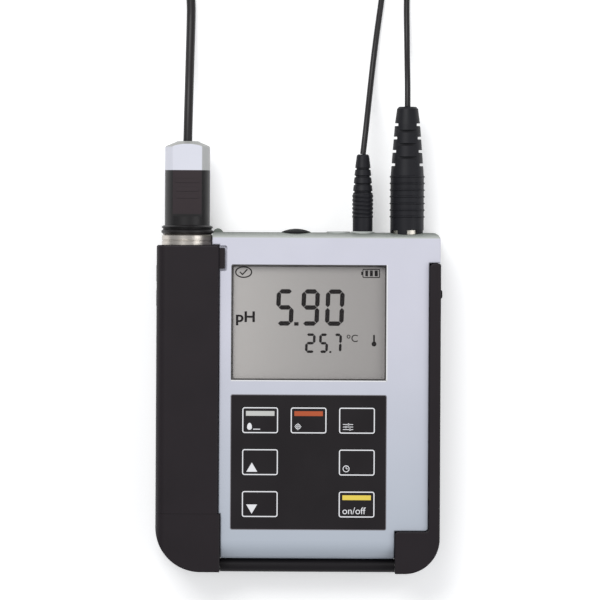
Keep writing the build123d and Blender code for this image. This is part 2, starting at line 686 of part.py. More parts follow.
def make_key_domes():
    domes = []
    for x, y in key_places().values():
        cone = Pos(x, y, BOARD_TOP + DOME_RISE / 2) * Cone(DOME_R, DOME_R - 2 * DOME_RISE, DOME_RISE)
        domes.append(cone)
    return Compound(children=domes)


def make_circuit_board():
    inset = WALL + BOARD_EDGE_GAP
    outline = offset(housing_front_outline(), -inset, kind=Kind.INTERSECTION)
    board = extrude(Pos(0, 0, BOARD_BOTTOM) * outline, BOARD_T)
    board -= block(BODY_LEFT, BODY_RIGHT, BODY_TOP - crown_drop(FACE_Z) - inset - 6, BODY_TOP, BOARD_BOTTOM, BOARD_TOP)
    for x, y in SCREW_PLACES:
        board -= bar_z(BOSS_R + BOARD_EDGE_GAP, x, y, BOARD_BOTTOM - 1, BOARD_TOP + 1)
    return board.solids().sort_by(SortBy.VOLUME)[-1]


# Batteries

def make_cells():
    cells = []
    for i, x in enumerate(cell_places()):
        low = BAY_BOTTOM + CONTACT_T + (CELL_NUB if i % 2 else SPRING_LENGTH)
        nub_low = low - CELL_NUB if i % 2 else low + CELL_LENGTH
        z = REAR_INSIDE_Z + SEAM + CELL_R
        cells.append(bar_y(CELL_R, x, z, low, low + CELL_LENGTH) + bar_y(CELL_NUB_R, x, z, nub_low, nub_low + CELL_NUB))
    return Compound(children=cells)


def make_contacts():
    """A flat plate at each end of each cell, with a cone spring on the plate of its negative end."""
    bottom = bay_size()[2]
    top = bay_size()[3]
    half = CONTACT_SIZE / 2
    z = REAR_INSIDE_Z + SEAM + CELL_R
    plates = []
    for i, x in enumerate(cell_places()):
        for end, y in (("low", bottom), ("high", top - CONTACT_T)):
            plate = block(x - half, x + half, y, y + CONTACT_T, z - half, z + half)
            if (end == "low") != bool(i % 2):
                spring = [(0, 0), (half - 0.5, 0), (half - 2, SPRING_LENGTH - 0.02), (0, SPRING_LENGTH - 0.02)]
                if end == "low":
                    outline = [(r, y + CONTACT_T + step) for r, step in spring]
                else:
                    outline = [(r, y - step) for r, step in spring]
                plate += turned(outline, x, z)
            plates.append(plate)
    return Compound(children=plates)


def make_door():
    left, right, bottom, top = door_size()
    plate_top = REAR_Z + DOOR_STEP - SEAL_T
    door = pad(
        (left + right) / 2, (bottom + top) / 2, right - left - 2 * DOOR_GAP, top - bottom - 2 * DOOR_GAP, 1.0, REAR_Z, plate_top
    )
    bay_left, bay_right, bay_bottom, bay_top = bay_size()
    door += block(
        bay_left + DOOR_GAP, bay_right - DOOR_GAP, bay_bottom + DOOR_GAP, bay_top - DOOR_GAP, plate_top, REAR_INSIDE_Z
    )
    for x, y in door_screw_places():
        door -= bar_z(SCREW_HEAD_R + 2 * SCREW_CLEARANCE, x, y, REAR_Z - 1, REAR_Z + DOOR_SCREW_HEAD)
        door -= bar_z(SCREW_R + SCREW_CLEARANCE, x, y, REAR_Z - 1, REAR_INSIDE_Z)
    for i in range(5):
        y = bottom + 6 + 3 * i
        door -= block(BAY_X - 10, BAY_X + 10, y, y + 1.2, REAR_Z - 1, REAR_Z + 0.5)
    return door


def make_door_seal():
    left, right, bottom, top = bay_size()
    outer = (left - 0.75 * DOOR_MARGIN, right + 0.75 * DOOR_MARGIN, bottom - 0.75 * DOOR_MARGIN, top + 0.75 * DOOR_MARGIN)
    low = REAR_Z + DOOR_STEP - SEAL_T
    return block(*outer, low, low + SEAL_T) - block(left, right, bottom, top, low - 1, low + 1)


# The rear hook

def make_hook():
    half = HOOK_WIDTH / 2
    low_y = HOOK_PIVOT_Y - HOOK_LENGTH
    opening_x, opening_y, width, length = hook_opening()
    low_z = HOOK_PIVOT_Z - HOOK_T / 2
    plate = pad(HOOK_X, (low_y + HOOK_PIVOT_Y) / 2, HOOK_WIDTH, HOOK_LENGTH, 5.0, low_z, low_z + HOOK_T)
    plate += block(HOOK_X - half, HOOK_X + half, HOOK_PIVOT_Y - 8, HOOK_PIVOT_Y, low_z, low_z + HOOK_T)
    plate -= pad(opening_x, opening_y, width, length, width / 2 - 0.1, low_z - 1, low_z + HOOK_T + 1)
    mouth_y = opening_y + length / 2 - width / 2
    plate -= block(HOOK_X - half - 1, opening_x, mouth_y - HOOK_MOUTH / 2, mouth_y + HOOK_MOUTH / 2, low_z - 1, low_z + HOOK_T + 1)
    plate += bar_x(HOOK_HUB_R, HOOK_PIVOT_Y, HOOK_PIVOT_Z, HOOK_X - half, HOOK_X + half)
    return plate - bar_x(HOOK_PIN_R + RUNNING, HOOK_PIVOT_Y, HOOK_PIVOT_Z, HOOK_X - half - 1, HOOK_X + half + 1)


def make_hook_pin():
    left, right, _ = hook_recess_size()
    return bar_x(HOOK_PIN_R - 0.01, HOOK_PIVOT_Y, HOOK_PIVOT_Z, left - HOOK_WALL - 2, right + HOOK_WALL + 2)


# The black guards

def guard_edges(shape, radius):
    """Rounds the front and rear rims of a guard."""
    rims = shape.edges().filter_by_position(Axis.Z, GUARD_Z - 0.001, GUARD_Z + 0.001)
    rims += shape.edges().filter_by_position(Axis.Z, REAR_Z - 0.001, REAR_Z + 0.001)
    return fillet(rims, radius)


def make_left_block():
    """The corner under the quiver, which carries on the quiver's rounded outer side."""
    above = LEFT_BLOCK_TOP + 2 * COLUMN_OUTER_R
    outline = rounded_outline([
        (BODY_LEFT, above, 0),
        (LEFT_BLOCK_RIGHT, above, 0),
        (LEFT_BLOCK_RIGHT, LEFT_BLOCK_BOTTOM, 0.4),
        (BODY_LEFT, LEFT_BLOCK_BOTTOM, LEFT_BLOCK_R),
    ])
    shape = guard_edges(extrude(Pos(0, 0, REAR_Z) * outline, GUARD_Z - REAR_Z), GUARD_EDGE_R)
    section = rounded_outline([
        (BODY_LEFT, REAR_Z, COLUMN_OUTER_R),
        (BODY_RIGHT, REAR_Z, 0),
        (BODY_RIGHT, GUARD_Z, 0),
        (BODY_LEFT, GUARD_Z, COLUMN_OUTER_R),
    ])
    shape &= extrude(Plane.XZ.offset(-LEFT_BLOCK_TOP) * section, 2 * LEFT_BLOCK_HEIGHT)
    return shape - bar_x(
        SPINE_PIN_R + 0.01, SPINE_PIVOT_Y, SPINE_PIVOT_Z, LEFT_BLOCK_RIGHT - SPINE_PIN_IN_BLOCK, LEFT_BLOCK_RIGHT + 1
    )


def make_right_bumper():
    outline = rounded_outline([
        (BODY_RIGHT, STRIP_TOP, STRIP_R / 2),
        (STRIP_LEFT, STRIP_TOP, STRIP_R),
        (STRIP_LEFT, RIGHT_BLOCK_TOP, BLOCK_INNER_R),
        (RIGHT_BLOCK_LEFT, RIGHT_BLOCK_TOP, BLOCK_INNER_R),
        (RIGHT_BLOCK_LEFT, BODY_BOTTOM, 0.4),
        (BODY_RIGHT, BODY_BOTTOM, RIGHT_BLOCK_R),
    ])
    shape = guard_edges(extrude(Pos(0, 0, REAR_Z) * outline, GUARD_Z - REAR_Z), GUARD_EDGE_R)
    return shape - bar_x(
        SPINE_PIN_R + 0.01, SPINE_PIVOT_Y, SPINE_PIVOT_Z, RIGHT_BLOCK_LEFT - 1, RIGHT_BLOCK_LEFT + SPINE_PIN_IN_BLOCK
    )


# The quiver

def make_quiver_sleeve():
    section = rounded_outline([
        (BODY_LEFT, REAR_Z, COLUMN_OUTER_R),
        (COLUMN_RIGHT, REAR_Z, COLUMN_INNER_R),
        (COLUMN_RIGHT, GUARD_Z, COLUMN_INNER_R),
        (BODY_LEFT, GUARD_Z, COLUMN_OUTER_R),
    ])
    height = COLUMN_TOP - COLUMN_BOTTOM
    sleeve = extrude(Plane.XZ.offset(-COLUMN_TOP) * section, height)
    top_edges = sleeve.edges().filter_by_position(Axis.Y, COLUMN_TOP - 0.001, COLUMN_TOP + 0.001)
    sleeve = fillet(top_edges, COLUMN_INNER_R * 0.9)
    sleeve -= bar_y(LINER_R + 0.02, PROBE_X, PROBE_Z, LINER_BOTTOM - 0.1, COLUMN_TOP + 1)
    return sleeve - bar_y(RING_SEAT_R + 0.02, PROBE_X, PROBE_Z, COLUMN_TOP - RING_SEAT_LENGTH, COLUMN_TOP + 1)


def make_quiver_liner():
    liner = bar_y(LINER_R, PROBE_X, PROBE_Z, LINER_BOTTOM, LINER_TOP)
    return liner - bar_y(LINER_R - LINER_WALL, PROBE_X, PROBE_Z, LINER_BOTTOM + LINER_WALL, LINER_TOP + 1)


def make_quiver_ring():
    seat = COLUMN_TOP - RING_SEAT_LENGTH
    return turned([
        (RING_BORE_R, seat), (RING_SEAT_R, seat), (RING_SEAT_R, COLUMN_TOP), (RING_R, COLUMN_TOP),
        (RING_R, COLUMN_TOP + 1.7), (RING_R - 0.25, COLUMN_TOP + 1.9), (RING_R - 0.25, COLUMN_TOP + 2.2),
        (RING_R, COLUMN_TOP + 2.4), (RING_R, RING_TOP - 0.6), (RING_R - 0.6, RING_TOP), (RING_BORE_R, RING_TOP),
    ], PROBE_X, PROBE_Z)


def make_quiver_catch():
    low = GUARD_Z - CATCH_T - FACE_RECESS + CATCH_PROUD
    return pad(
        COLUMN_RIGHT + CATCH_WIDTH / 2, CATCH_BOTTOM + CATCH_HEIGHT / 2, CATCH_WIDTH, CATCH_HEIGHT, 0.5, low, low + CATCH_T
    )


# The electrode

def make_probe_cap():
    cap = turned([
        (0, GRIP_TOP), (GRIP_R, GRIP_TOP), (GRIP_R, CAP_SHOULDER_Y), (GRIP_R - 0.4, CAP_SHOULDER_Y + 0.6),
        (CAP_TOP_R + 0.9, CAP_TOP - 0.5), (CAP_TOP_R, CAP_TOP), (0, CAP_TOP),
    ], PROBE_X, PROBE_Z)
    return cap - grip_flats(GRIP_TOP - 1, CAP_TOP + 1)


def grip_flats(low_y, high_y):
    """What is cut off the round grip in front and behind, with rounded lower corners."""
    cut = extrude(
        Pos(PROBE_X, (low_y + high_y) / 2, PROBE_Z + GRIP_FLAT) * RectangleRounded(2 * GRIP_R, high_y - low_y, GRIP_FLAT_R),
        GRIP_R,
    )
    other = mirror(cut, Plane.XY.offset(PROBE_Z))
    return cut + other


def make_probe_grip():
    grip = turned([
        (0, COLLAR_BOTTOM), (COLLAR_R, COLLAR_BOTTOM), (COLLAR_R, RING_TOP + 0.1), (FLANGE_R - 0.9, RING_TOP + 0.1),
        (FLANGE_R, RING_TOP + 0.9), (FLANGE_R, FLANGE_GROOVE_Y - 0.8), (FLANGE_R - 0.8, FLANGE_GROOVE_Y - 0.1),
        (FLANGE_R - 0.8, FLANGE_GROOVE_Y + 0.1), (FLANGE_R - 0.1, FLANGE_GROOVE_Y + 0.6),
        (FLANGE_R - 0.1, FLANGE_TOP - 0.6), (FLANGE_R - 0.9, FLANGE_TOP), (GRIP_R, FLANGE_TOP),
        (GRIP_R, GRIP_TOP), (0, GRIP_TOP),
    ], PROBE_X, PROBE_Z)
    grip -= grip_flats(GRIP_FLAT_BOTTOM, GRIP_TOP + 2 * GRIP_R)
    for y in RIDGE_YS:
        ridge = pad(PROBE_X, y, RIDGE_LENGTH, RIDGE_WIDTH, 0.6, PROBE_Z - GRIP_FLAT - RIDGE_RISE, PROBE_Z + GRIP_FLAT + RIDGE_RISE)
        grip += ridge
    groove = bar_y(COLLAR_R + 1, PROBE_X, PROBE_Z, seal_middle() - SEAL_RING_T / 2, seal_middle() + SEAL_RING_T / 2)
    groove -= bar_y(COLLAR_R - 1.2, PROBE_X, PROBE_Z, COLLAR_BOTTOM - 1, RING_TOP)
    return grip - groove


def seal_middle():
    return COLUMN_TOP - RING_SEAT_LENGTH / 2


def make_probe_seal():
    low = seal_middle() - SEAL_RING_T / 2 + 0.05
    high = seal_middle() + SEAL_RING_T / 2 - 0.05
    inner = COLLAR_R - 1.2
    return turned([
        (inner, low), (SEAL_RING_R - 0.5, low), (SEAL_RING_R, low + 0.6), (SEAL_RING_R, high - 0.6),
        (SEAL_RING_R - 0.5, high), (inner, high),
    ], PROBE_X, PROBE_Z)


def make_probe_shaft():
    shaft = bar_y(SHAFT_R, PROBE_X, PROBE_Z, SHAFT_BOTTOM, COLLAR_BOTTOM)
    shaft -= bar_y(SHAFT_R - 0.8, PROBE_X, PROBE_Z, SHAFT_BOTTOM - 1, SHAFT_BOTTOM + BULB_RISE)
    for turn in (0, 90):
        window = Rot(0, turn, 0) * block(-1.6, 1.6, SHAFT_BOTTOM - 1, SHAFT_BOTTOM + BULB_RISE - 1.5, -2 * SHAFT_R, 2 * SHAFT_R)
        shaft -= Pos(PROBE_X, 0, PROBE_Z) * window
    return shaft


def make_probe_bulb():
    top = SHAFT_BOTTOM + BULB_RISE
    ball_y = top - 0.75 * BULB_R
    bulb = Pos(PROBE_X, ball_y, PROBE_Z) * Sphere(BULB_R) + bar_y(0.75 * BULB_R, PROBE_X, PROBE_Z, ball_y, top)
    return bulb - bar_y(2 * BULB_R, PROBE_X, PROBE_Z, top, top + BULB_R)


# Cover and spine

def knuckle_spans():
    """The stretches of X that the hinge's knuckles take, in order: the spine has the first."""
    low = LEFT_BLOCK_RIGHT + HINGE_END_GAP - HINGE_GAP / 2
    high = RIGHT_BLOCK_LEFT - HINGE_END_GAP + HINGE_GAP / 2
    step = (high - low) / KNUCKLES
    return [(low + i * step + HINGE_GAP / 2, low + (i + 1) * step - HINGE_GAP / 2) for i in range(KNUCKLES)]


def make_spine():
    spans = knuckle_spans()
    low, high = spans[0][0], spans[-1][1]
    half = SPINE_T / 2
    spine = bar_x(SPINE_BARREL_R, SPINE_PIVOT_Y, SPINE_PIVOT_Z, low, high)
    spine += block(low, high, SPINE_PIVOT_Y - half, SPINE_PIVOT_Y + half, PANEL_PIVOT_Z + PANEL_KNUCKLE_R + HINGE_GAP, SPINE_PIVOT_Z)
    for x0, x1 in spans[::2]:
        spine += block(x0, x1, SPINE_PIVOT_Y - half, SPINE_PIVOT_Y + half, PANEL_PIVOT_Z, SPINE_PIVOT_Z)
        spine += bar_x(PANEL_KNUCKLE_R, SPINE_PIVOT_Y, PANEL_PIVOT_Z, x0, x1)
    for x0, x1 in ((low - 1, low + SPINE_PIN_IN_SPINE), (high - SPINE_PIN_IN_SPINE, high + 1)):
        spine -= bar_x(SPINE_PIN_R + RUNNING, SPINE_PIVOT_Y, SPINE_PIVOT_Z, x0, x1)
    return spine - bar_x(COVER_PIN_R + 0.01, SPINE_PIVOT_Y, PANEL_PIVOT_Z, low - 1, high + 1)


def make_spine_pins():
    low, high = knuckle_spans()[0][0], knuckle_spans()[-1][1]
    end = SPINE_PIN_IN_SPINE - HINGE_GAP
    left = bar_x(SPINE_PIN_R, SPINE_PIVOT_Y, SPINE_PIVOT_Z, LEFT_BLOCK_RIGHT - SPINE_PIN_IN_BLOCK, low + end)
    right = bar_x(SPINE_PIN_R, SPINE_PIVOT_Y, SPINE_PIVOT_Z, high - end, RIGHT_BLOCK_LEFT + SPINE_PIN_IN_BLOCK)
    return Compound(children=[left, right])


def make_cover_pin():
    low, high = knuckle_spans()[0][0], knuckle_spans()[-1][1]
    return bar_x(COVER_PIN_R, SPINE_PIVOT_Y, PANEL_PIVOT_Z, low + HINGE_GAP, high - HINGE_GAP)


def make_cover():
    left = BODY_LEFT + COVER_SIDE_INSET
    right = BODY_RIGHT - COVER_SIDE_INSET
    low = 2 * SPINE_PIVOT_Y - BODY_BOTTOM + HINGE_GAP
    tongue_low = SPINE_PIVOT_Y + PANEL_KNUCKLE_R + HINGE_GAP
    outline = rounded_outline([
        (left, low, COVER_BOTTOM_R), (right, low, COVER_BOTTOM_R), (right, COVER_TOP, COVER_TOP_R), (left, COVER_TOP, COVER_TOP_R),
    ])
    tongue_left = LEFT_BLOCK_RIGHT + HINGE_GAP
    tongue_right = RIGHT_BLOCK_LEFT - HINGE_GAP
    outline += Pos((tongue_left + tongue_right) / 2, low) * Rectangle(tongue_right - tongue_left, 2 * (low - tongue_low))
    for edge, tab in ((left, LEFT_TAB), (right, RIGHT_TAB)):
        outline += Pos(edge, sum(tab) / 2) * RectangleRounded(2 * (COVER_SIDE_INSET + TAB_PROUD), tab[1] - tab[0], 1.0)
    outline += Pos(right, sum(RIGHT_NUB) / 2) * RectangleRounded(
        2 * (COVER_SIDE_INSET + NUB_PROUD), RIGHT_NUB[1] - RIGHT_NUB[0], 1.0
    )
    panel = extrude(outline, COVER_T)
    panel -= bar_z(THUMB_R, left - COVER_SIDE_INSET - THUMB_R - TAB_PROUD / 2, sum(LEFT_TAB) / 2, -1, COVER_T + 1)
    recess_left, recess_right, recess_bottom = hook_recess_size()
    cut_bottom = recess_bottom - COVER_CUT_MARGIN
    cut_height = 2 * (COVER_TOP - cut_bottom)
    panel -= pad(
        (recess_left + recess_right) / 2, COVER_TOP, recess_right - recess_left + 2 * COVER_CUT_MARGIN, cut_height, 4.0,
        -1, COVER_T + 1,
    )
    for side_x0, side_x1, y0, y1 in (
        (left + COVER_RIM, right - COVER_RIM, low + COVER_BOTTOM_R, cut_bottom - COVER_RIM),
        (left + COVER_RIM + COVER_BOTTOM_R, right - COVER_RIM - COVER_BOTTOM_R, low + COVER_RIM, low + COVER_BOTTOM_R),
    ):
        panel -= block(side_x0, side_x1, y0, y1, COVER_T - COVER_FIELD_DEPTH, COVER_T + 1)
    for x0, x1 in knuckle_spans()[1::2]:
        panel += bar_x(PANEL_KNUCKLE_R, SPINE_PIVOT_Y, PANEL_PIVOT_Z, x0, x1)
        panel += block(x0, x1, SPINE_PIVOT_Y, low, 0, COVER_T)
        panel -= bar_x(COVER_PIN_R + RUNNING, SPINE_PIVOT_Y, PANEL_PIVOT_Z, x0 - 1, x1 + 1)
    return panel


# Sockets

def make_ph_socket():
    inside = BODY_TOP - SOCKET_DEPTH
    barrel = bar_y(PH_BARREL_R, PH_SOCKET_X, SOCKET_Z, inside, PH_BARREL_TOP)
    return barrel - bar_y(PH_BARREL_R - PH_COLLAR_WALL, PH_SOCKET_X, SOCKET_Z, inside + 2, PH_BARREL_TOP + 1)


def make_ph_socket_core():
    inside = BODY_TOP - SOCKET_DEPTH + 2
    core = bar_y(PH_BARREL_R - PH_COLLAR_WALL - 0.02, PH_SOCKET_X, SOCKET_Z, inside, inside + 6)
    core += bar_y(PH_CORE_R, PH_SOCKET_X, SOCKET_Z, inside, PH_BARREL_TOP - 2)
    return core - bar_y(PH_CONTACT_R + 0.1, PH_SOCKET_X, SOCKET_Z, inside + 7, PH_BARREL_TOP)


def make_temp_sockets():
    sockets = []
    inside = BODY_TOP - SOCKET_DEPTH
    for x in (SPARE_SOCKET_X, TEMP_SOCKET_X):
        socket = turned([
            (0, inside), (TEMP_BARREL_R, inside), (TEMP_BARREL_R, TEMP_SEAT), (TEMP_RIM_R, TEMP_SEAT),
            (TEMP_RIM_R, BODY_TOP + TEMP_RIM - 0.3), (TEMP_RIM_R - 0.4, BODY_TOP + TEMP_RIM), (0, BODY_TOP + TEMP_RIM),
        ], x, SOCKET_Z)
        sockets.append(socket - bar_y(TEMP_BORE_R, x, SOCKET_Z, inside + 1, BODY_TOP + 1))
    return Compound(children=sockets)


def make_cap_socket():
    inside = BODY_TOP - SOCKET_DEPTH
    body = bar_y(CAP_SOCKET_R, CAP_SOCKET_X, SOCKET_Z, inside, CAP_SEAT)
    body += bar_y(CAP_THREAD_R, CAP_SOCKET_X, SOCKET_Z, CAP_SEAT, CAP_SEAT + CAP_THREAD_RISE)
    body -= bar_y(CAP_THREAD_R - 1, CAP_SOCKET_X, SOCKET_Z, CAP_SEAT - 6, CAP_SEAT + 2)
    for i in range(4):
        angle = i * pi / 2 + pi / 4
        x = CAP_SOCKET_X + 1.4 * cos(angle)
        body += bar_y(0.5, x, SOCKET_Z + 1.4 * sin(angle), CAP_SEAT - 6, CAP_SEAT)
    return body


def make_dust_cap():
    low = CAP_SEAT + SEAT_GAP
    edge = BODY_TOP + SEAT_GAP
    top = BODY_TOP + CAP_RISE
    dome_r = (CAP_R ** 2 + (top - edge) ** 2) / (2 * (top - edge))
    cap = bar_y(CAP_R, CAP_SOCKET_X, SOCKET_Z, low, top) & (Pos(CAP_SOCKET_X, top - dome_r, SOCKET_Z) * Sphere(dome_r))
    return cap - bar_y(CAP_THREAD_R + RUNNING, CAP_SOCKET_X, SOCKET_Z, low - 1, low + CAP_THREAD_RISE)


# Plugs

def ph_boot_radius(y):
    """The boot's radius on its long cone, from the waist up to the neck."""
    share = (y - PH_BOOT_WAIST_Y) / (PH_BOOT_NECK_Y - PH_BOOT_WAIST_Y)
    return PH_BOOT_R + (PH_BOOT_NECK_R - PH_BOOT_R) * share


def make_ph_boot():
    bore = PH_COLLAR_R + 0.02
    side = [(PH_BOOT_R, PH_BOOT_BOTTOM)]
    for i in reversed(range(PH_RING_COUNT)):
        y = PH_BOOT_WAIST_Y - i * PH_RING_PITCH
        half = PH_RING_WIDTH / 2
        side += [(PH_BOOT_R, y - half), (PH_BOOT_R + PH_RING_RISE, y - half / 2), (PH_BOOT_R + PH_RING_RISE, y + half / 2)]
        side.append((ph_boot_radius(y + half) if i == 0 else PH_BOOT_R, y + half))
    side += [(PH_BOOT_NECK_R, PH_BOOT_NECK_Y), (PH_BOOT_TOP_R, PH_BOOT_TOP - 1.0), (PH_BOOT_TOP_R - 0.9, PH_BOOT_TOP)]
    boot = turned(
        [(bore, PH_BOOT_BOTTOM)] + side + [(0, PH_BOOT_TOP), (0, PH_COLLAR_TOP), (bore, PH_COLLAR_TOP)], PH_SOCKET_X, SOCKET_Z
    )
    for i in range(PH_SLOT_COUNT):
        y = PH_BOOT_NECK_Y - i * PH_SLOT_PITCH
        inner = ph_boot_radius(y) - PH_SLOT_DEPTH
        for side_turn in (0, 180):
            cut = block(inner, 2 * PH_BOOT_R, y - PH_SLOT_WIDTH / 2, y + PH_SLOT_WIDTH / 2, -PH_BOOT_R, PH_BOOT_R)
            boot -= Pos(PH_SOCKET_X, 0, SOCKET_Z) * Rot(0, side_turn + 90 * (i % 2), 0) * cut
    half = PH_BOOT_R * sin(radians(PH_WINDOW_ANGLE / 2))
    for i in range(PH_WINDOW_COUNT):
        cut = block(-half, half, PH_BOOT_BOTTOM - 1, PH_WINDOW_TOP, PH_COLLAR_R / 2, 2 * PH_BOOT_R)
        boot -= Pos(PH_SOCKET_X, 0, SOCKET_Z) * Rot(0, PH_WINDOW_TURN + i * 360 / PH_WINDOW_COUNT, 0) * cut
    return boot


def make_ph_collar():
    """The plug's nickelled shell, closed at its top, with the centre contact in it."""
    low = PH_BOOT_BOTTOM + SEAT_GAP
    inner = PH_COLLAR_R - PH_COLLAR_WALL
    top = PH_COLLAR_TOP - 0.02
    floor = top - 3
    contact_end = PH_BARREL_TOP - 5
    return turned([
        (inner, low), (PH_COLLAR_R, low), (PH_COLLAR_R, top), (0, top), (0, contact_end), (PH_CONTACT_R, contact_end),
        (PH_CONTACT_R, floor), (inner, floor),
    ], PH_SOCKET_X, SOCKET_Z)


def make_temp_boot():
    side = [(TEMP_BOOT_R, TEMP_BOOT_BOTTOM), (TEMP_BOOT_R, TEMP_GRIP_BOTTOM)]
    step = (TEMP_GRIP_TOP - TEMP_GRIP_BOTTOM) / TEMP_BUMP_COUNT
    for i in range(TEMP_BUMP_COUNT):
        y = TEMP_GRIP_BOTTOM + i * step
        side += [(TEMP_BOOT_R + TEMP_BUMP_RISE, y + 0.25 * step), (TEMP_BOOT_R + TEMP_BUMP_RISE, y + 0.55 * step)]
        side.append((TEMP_BOOT_R - 0.1, y + 0.85 * step))
    slope = (TEMP_BOOT_R - TEMP_BOOT_NECK_R) / (TEMP_BOOT_NECK_Y - TEMP_GRIP_TOP)
    half = TEMP_GROOVE_WIDTH / 2
    for i in reversed(range(TEMP_GROOVE_COUNT)):
        y = TEMP_BOOT_NECK_Y - half - i * TEMP_GROOVE_PITCH
        radius = TEMP_BOOT_NECK_R + slope * (TEMP_BOOT_NECK_Y - y)
        deep = radius - TEMP_GROOVE_DEPTH
        side += [(radius, y - half), (deep, y - 0.5 * half), (deep, y + 0.5 * half), (radius, y + half)]
    side += [(TEMP_BOOT_TOP_R, TEMP_BOOT_TOP - 0.6), (TEMP_BOOT_TOP_R - 0.5, TEMP_BOOT_TOP)]
    bore = TEMP_PIN_R + 0.01
    bore_top = TEMP_GRIP_BOTTOM + 2
    return turned(
        [(bore, TEMP_BOOT_BOTTOM)] + side + [(0, TEMP_BOOT_TOP), (0, bore_top), (bore, bore_top)], TEMP_SOCKET_X, SOCKET_Z
    )


def make_temp_pin():
    top = TEMP_GRIP_BOTTOM + 1.98
    return turned([
        (0, TEMP_PIN_BOTTOM), (TEMP_PIN_R - 0.7, TEMP_PIN_BOTTOM), (TEMP_PIN_R, TEMP_PIN_BOTTOM + 1.2), (TEMP_PIN_R, top), (0, top),
    ], TEMP_SOCKET_X, SOCKET_Z)


def make_splitter():
    """A moulded piece along X that the cable goes into and the two leads come out of."""
    x, y, z = SPLITTER_START
    neck = CABLE_R + 0.7
    outline = [
        (0, 0), (neck - 0.3, 0), (neck, 0.5), (neck + 0.4, 0.3 * SPLITTER_LENGTH), (SPLITTER_R - 0.3, 0.45 * SPLITTER_LENGTH),
        (SPLITTER_R, 0.52 * SPLITTER_LENGTH), (SPLITTER_R, SPLITTER_LENGTH - 0.8), (SPLITTER_R - 0.7, SPLITTER_LENGTH),
        (0, SPLITTER_LENGTH),
    ]
    body = turned(outline, 0, 0)
    turn = degrees(atan2(SPLITTER_END[1] - y, SPLITTER_END[0] - x))
    return Pos(x, y, z) * Rot(0, 0, turn - 90) * body


# Cable and leads

def tube(name, route, radius):
    """A round tube along straight runs joined by tangent arcs, each as large as its runs allow."""
    points = [Vector(*point) for point in route]
    runs = [b - a for a, b in zip(points, points[1:])]
    radii = []
    for before, after in zip(runs, runs[1:]):
        half_turn = radians(before.get_angle(after)) / 2
        radii.append(0.45 * min(before.length, after.length) / tan(half_turn))
    path = FilletPolyline(*points, radius=radii)
    solid = sweep(Plane(origin=path @ 0, z_dir=path % 0) * Circle(radius), path=path)
    share = solid.volume / (pi * radius ** 2 * path.length)
    print(f"{name}: {path.length:.0f} mm, radii {[round(r) for r in radii]} mm, volume share {share:.4f}")
    return solid


def make_coil():
    """The closed outer shape of the coil's turns."""
    half = COIL_HALF_WIDTH
    section = Pos(COIL_R, COIL_TOP / 2) * RectangleRounded(2 * half, COIL_TOP, CABLE_R * 0.95)
    ring = revolve(Plane.XZ * section, Axis.Z)
    return Pos(COIL_X, COIL_Y, 0) * ring


NODES = {
    "front_shell": make_front_shell,
    "rear_shell": make_rear_shell,
    "housing_gasket": make_gasket,
    "housing_screws": lambda: make_screws(SCREW_PLACES, REAR_Z + SEAM, HOUSING_SCREW_LENGTH, SCREW_HEAD),
    "display_pane": make_display_pane,
    "lcd_glass": make_lcd,
    "lcd_frame": make_lcd_frame,
    "keypad_panel": make_keypad,
    "key_domes": make_key_domes,
    "circuit_board": make_circuit_board,
    "batteries": make_cells,
    "battery_contacts": make_contacts,
    "battery_door": make_door,
    "door_seal": make_door_seal,
    "door_screws": lambda: make_screws(door_screw_places(), REAR_Z, DOOR_SCREW_LENGTH, DOOR_SCREW_HEAD),
    "hang_hook": make_hook,
    "hook_pin": make_hook_pin,
    "left_corner_block": make_left_block,
    "right_bumper": make_right_bumper,
    "quiver_sleeve": make_quiver_sleeve,
    "quiver_liner": make_quiver_liner,
    "quiver_ring": make_quiver_ring,
    "quiver_catch": make_quiver_catch,
    "cover_spine": make_spine,
    "spine_pins": make_spine_pins,
    "cover_pin": make_cover_pin,
    "cover_panel": make_cover,
    "ph_socket": make_ph_socket,
    "ph_socket_core": make_ph_socket_core,
    "temp_sockets": make_temp_sockets,
    "cap_socket": make_cap_socket,
    "dust_cap": make_dust_cap,
    "probe_cap": make_probe_cap,
    "probe_grip": make_probe_grip,
    "probe_seal": make_probe_seal,
    "probe_shaft": make_probe_shaft,
    "probe_bulb": make_probe_bulb,
    "ph_plug_boot": make_ph_boot,
    "ph_plug_collar": make_ph_collar,
    "temp_plug_boot": make_temp_boot,
    "temp_plug_pin": make_temp_pin,
    "cable_splitter": make_splitter,
    "main_cable": lambda: tube("main cable", CABLE_ROUTE, CABLE_R),
    "main_cable_tail": lambda: tube("main cable's tail", TAIL_ROUTE, CABLE_R),
    "main_cable_coil": make_coil,
    "ph_lead": lambda: tube("pH lead", PH_LEAD_ROUTE, LEAD_R),
    "temp_lead": lambda: tube("temperature lead", TEMP_LEAD_ROUTE, LEAD_R),
}
for key, (key_x, key_y) in key_places().items():
    NODES[key] = lambda x=key_x, y=key_y: make_key(x, y)

os.makedirs("parts", exist_ok=True)
for name, make in NODES.items():
    export_step(make(), f"parts/{name}.step")
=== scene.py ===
# %% [markdown]
# A portable pH meter seen from above. It lies on its own folded-back cover, with the electrode
# parked in the quiver at its left side. The CAD model gives every rigid piece its size and place,
# and this script gives the pieces their finish, adds the printing and the display's signs, lays the
# cable and its two leads, and sets up the light and the camera.

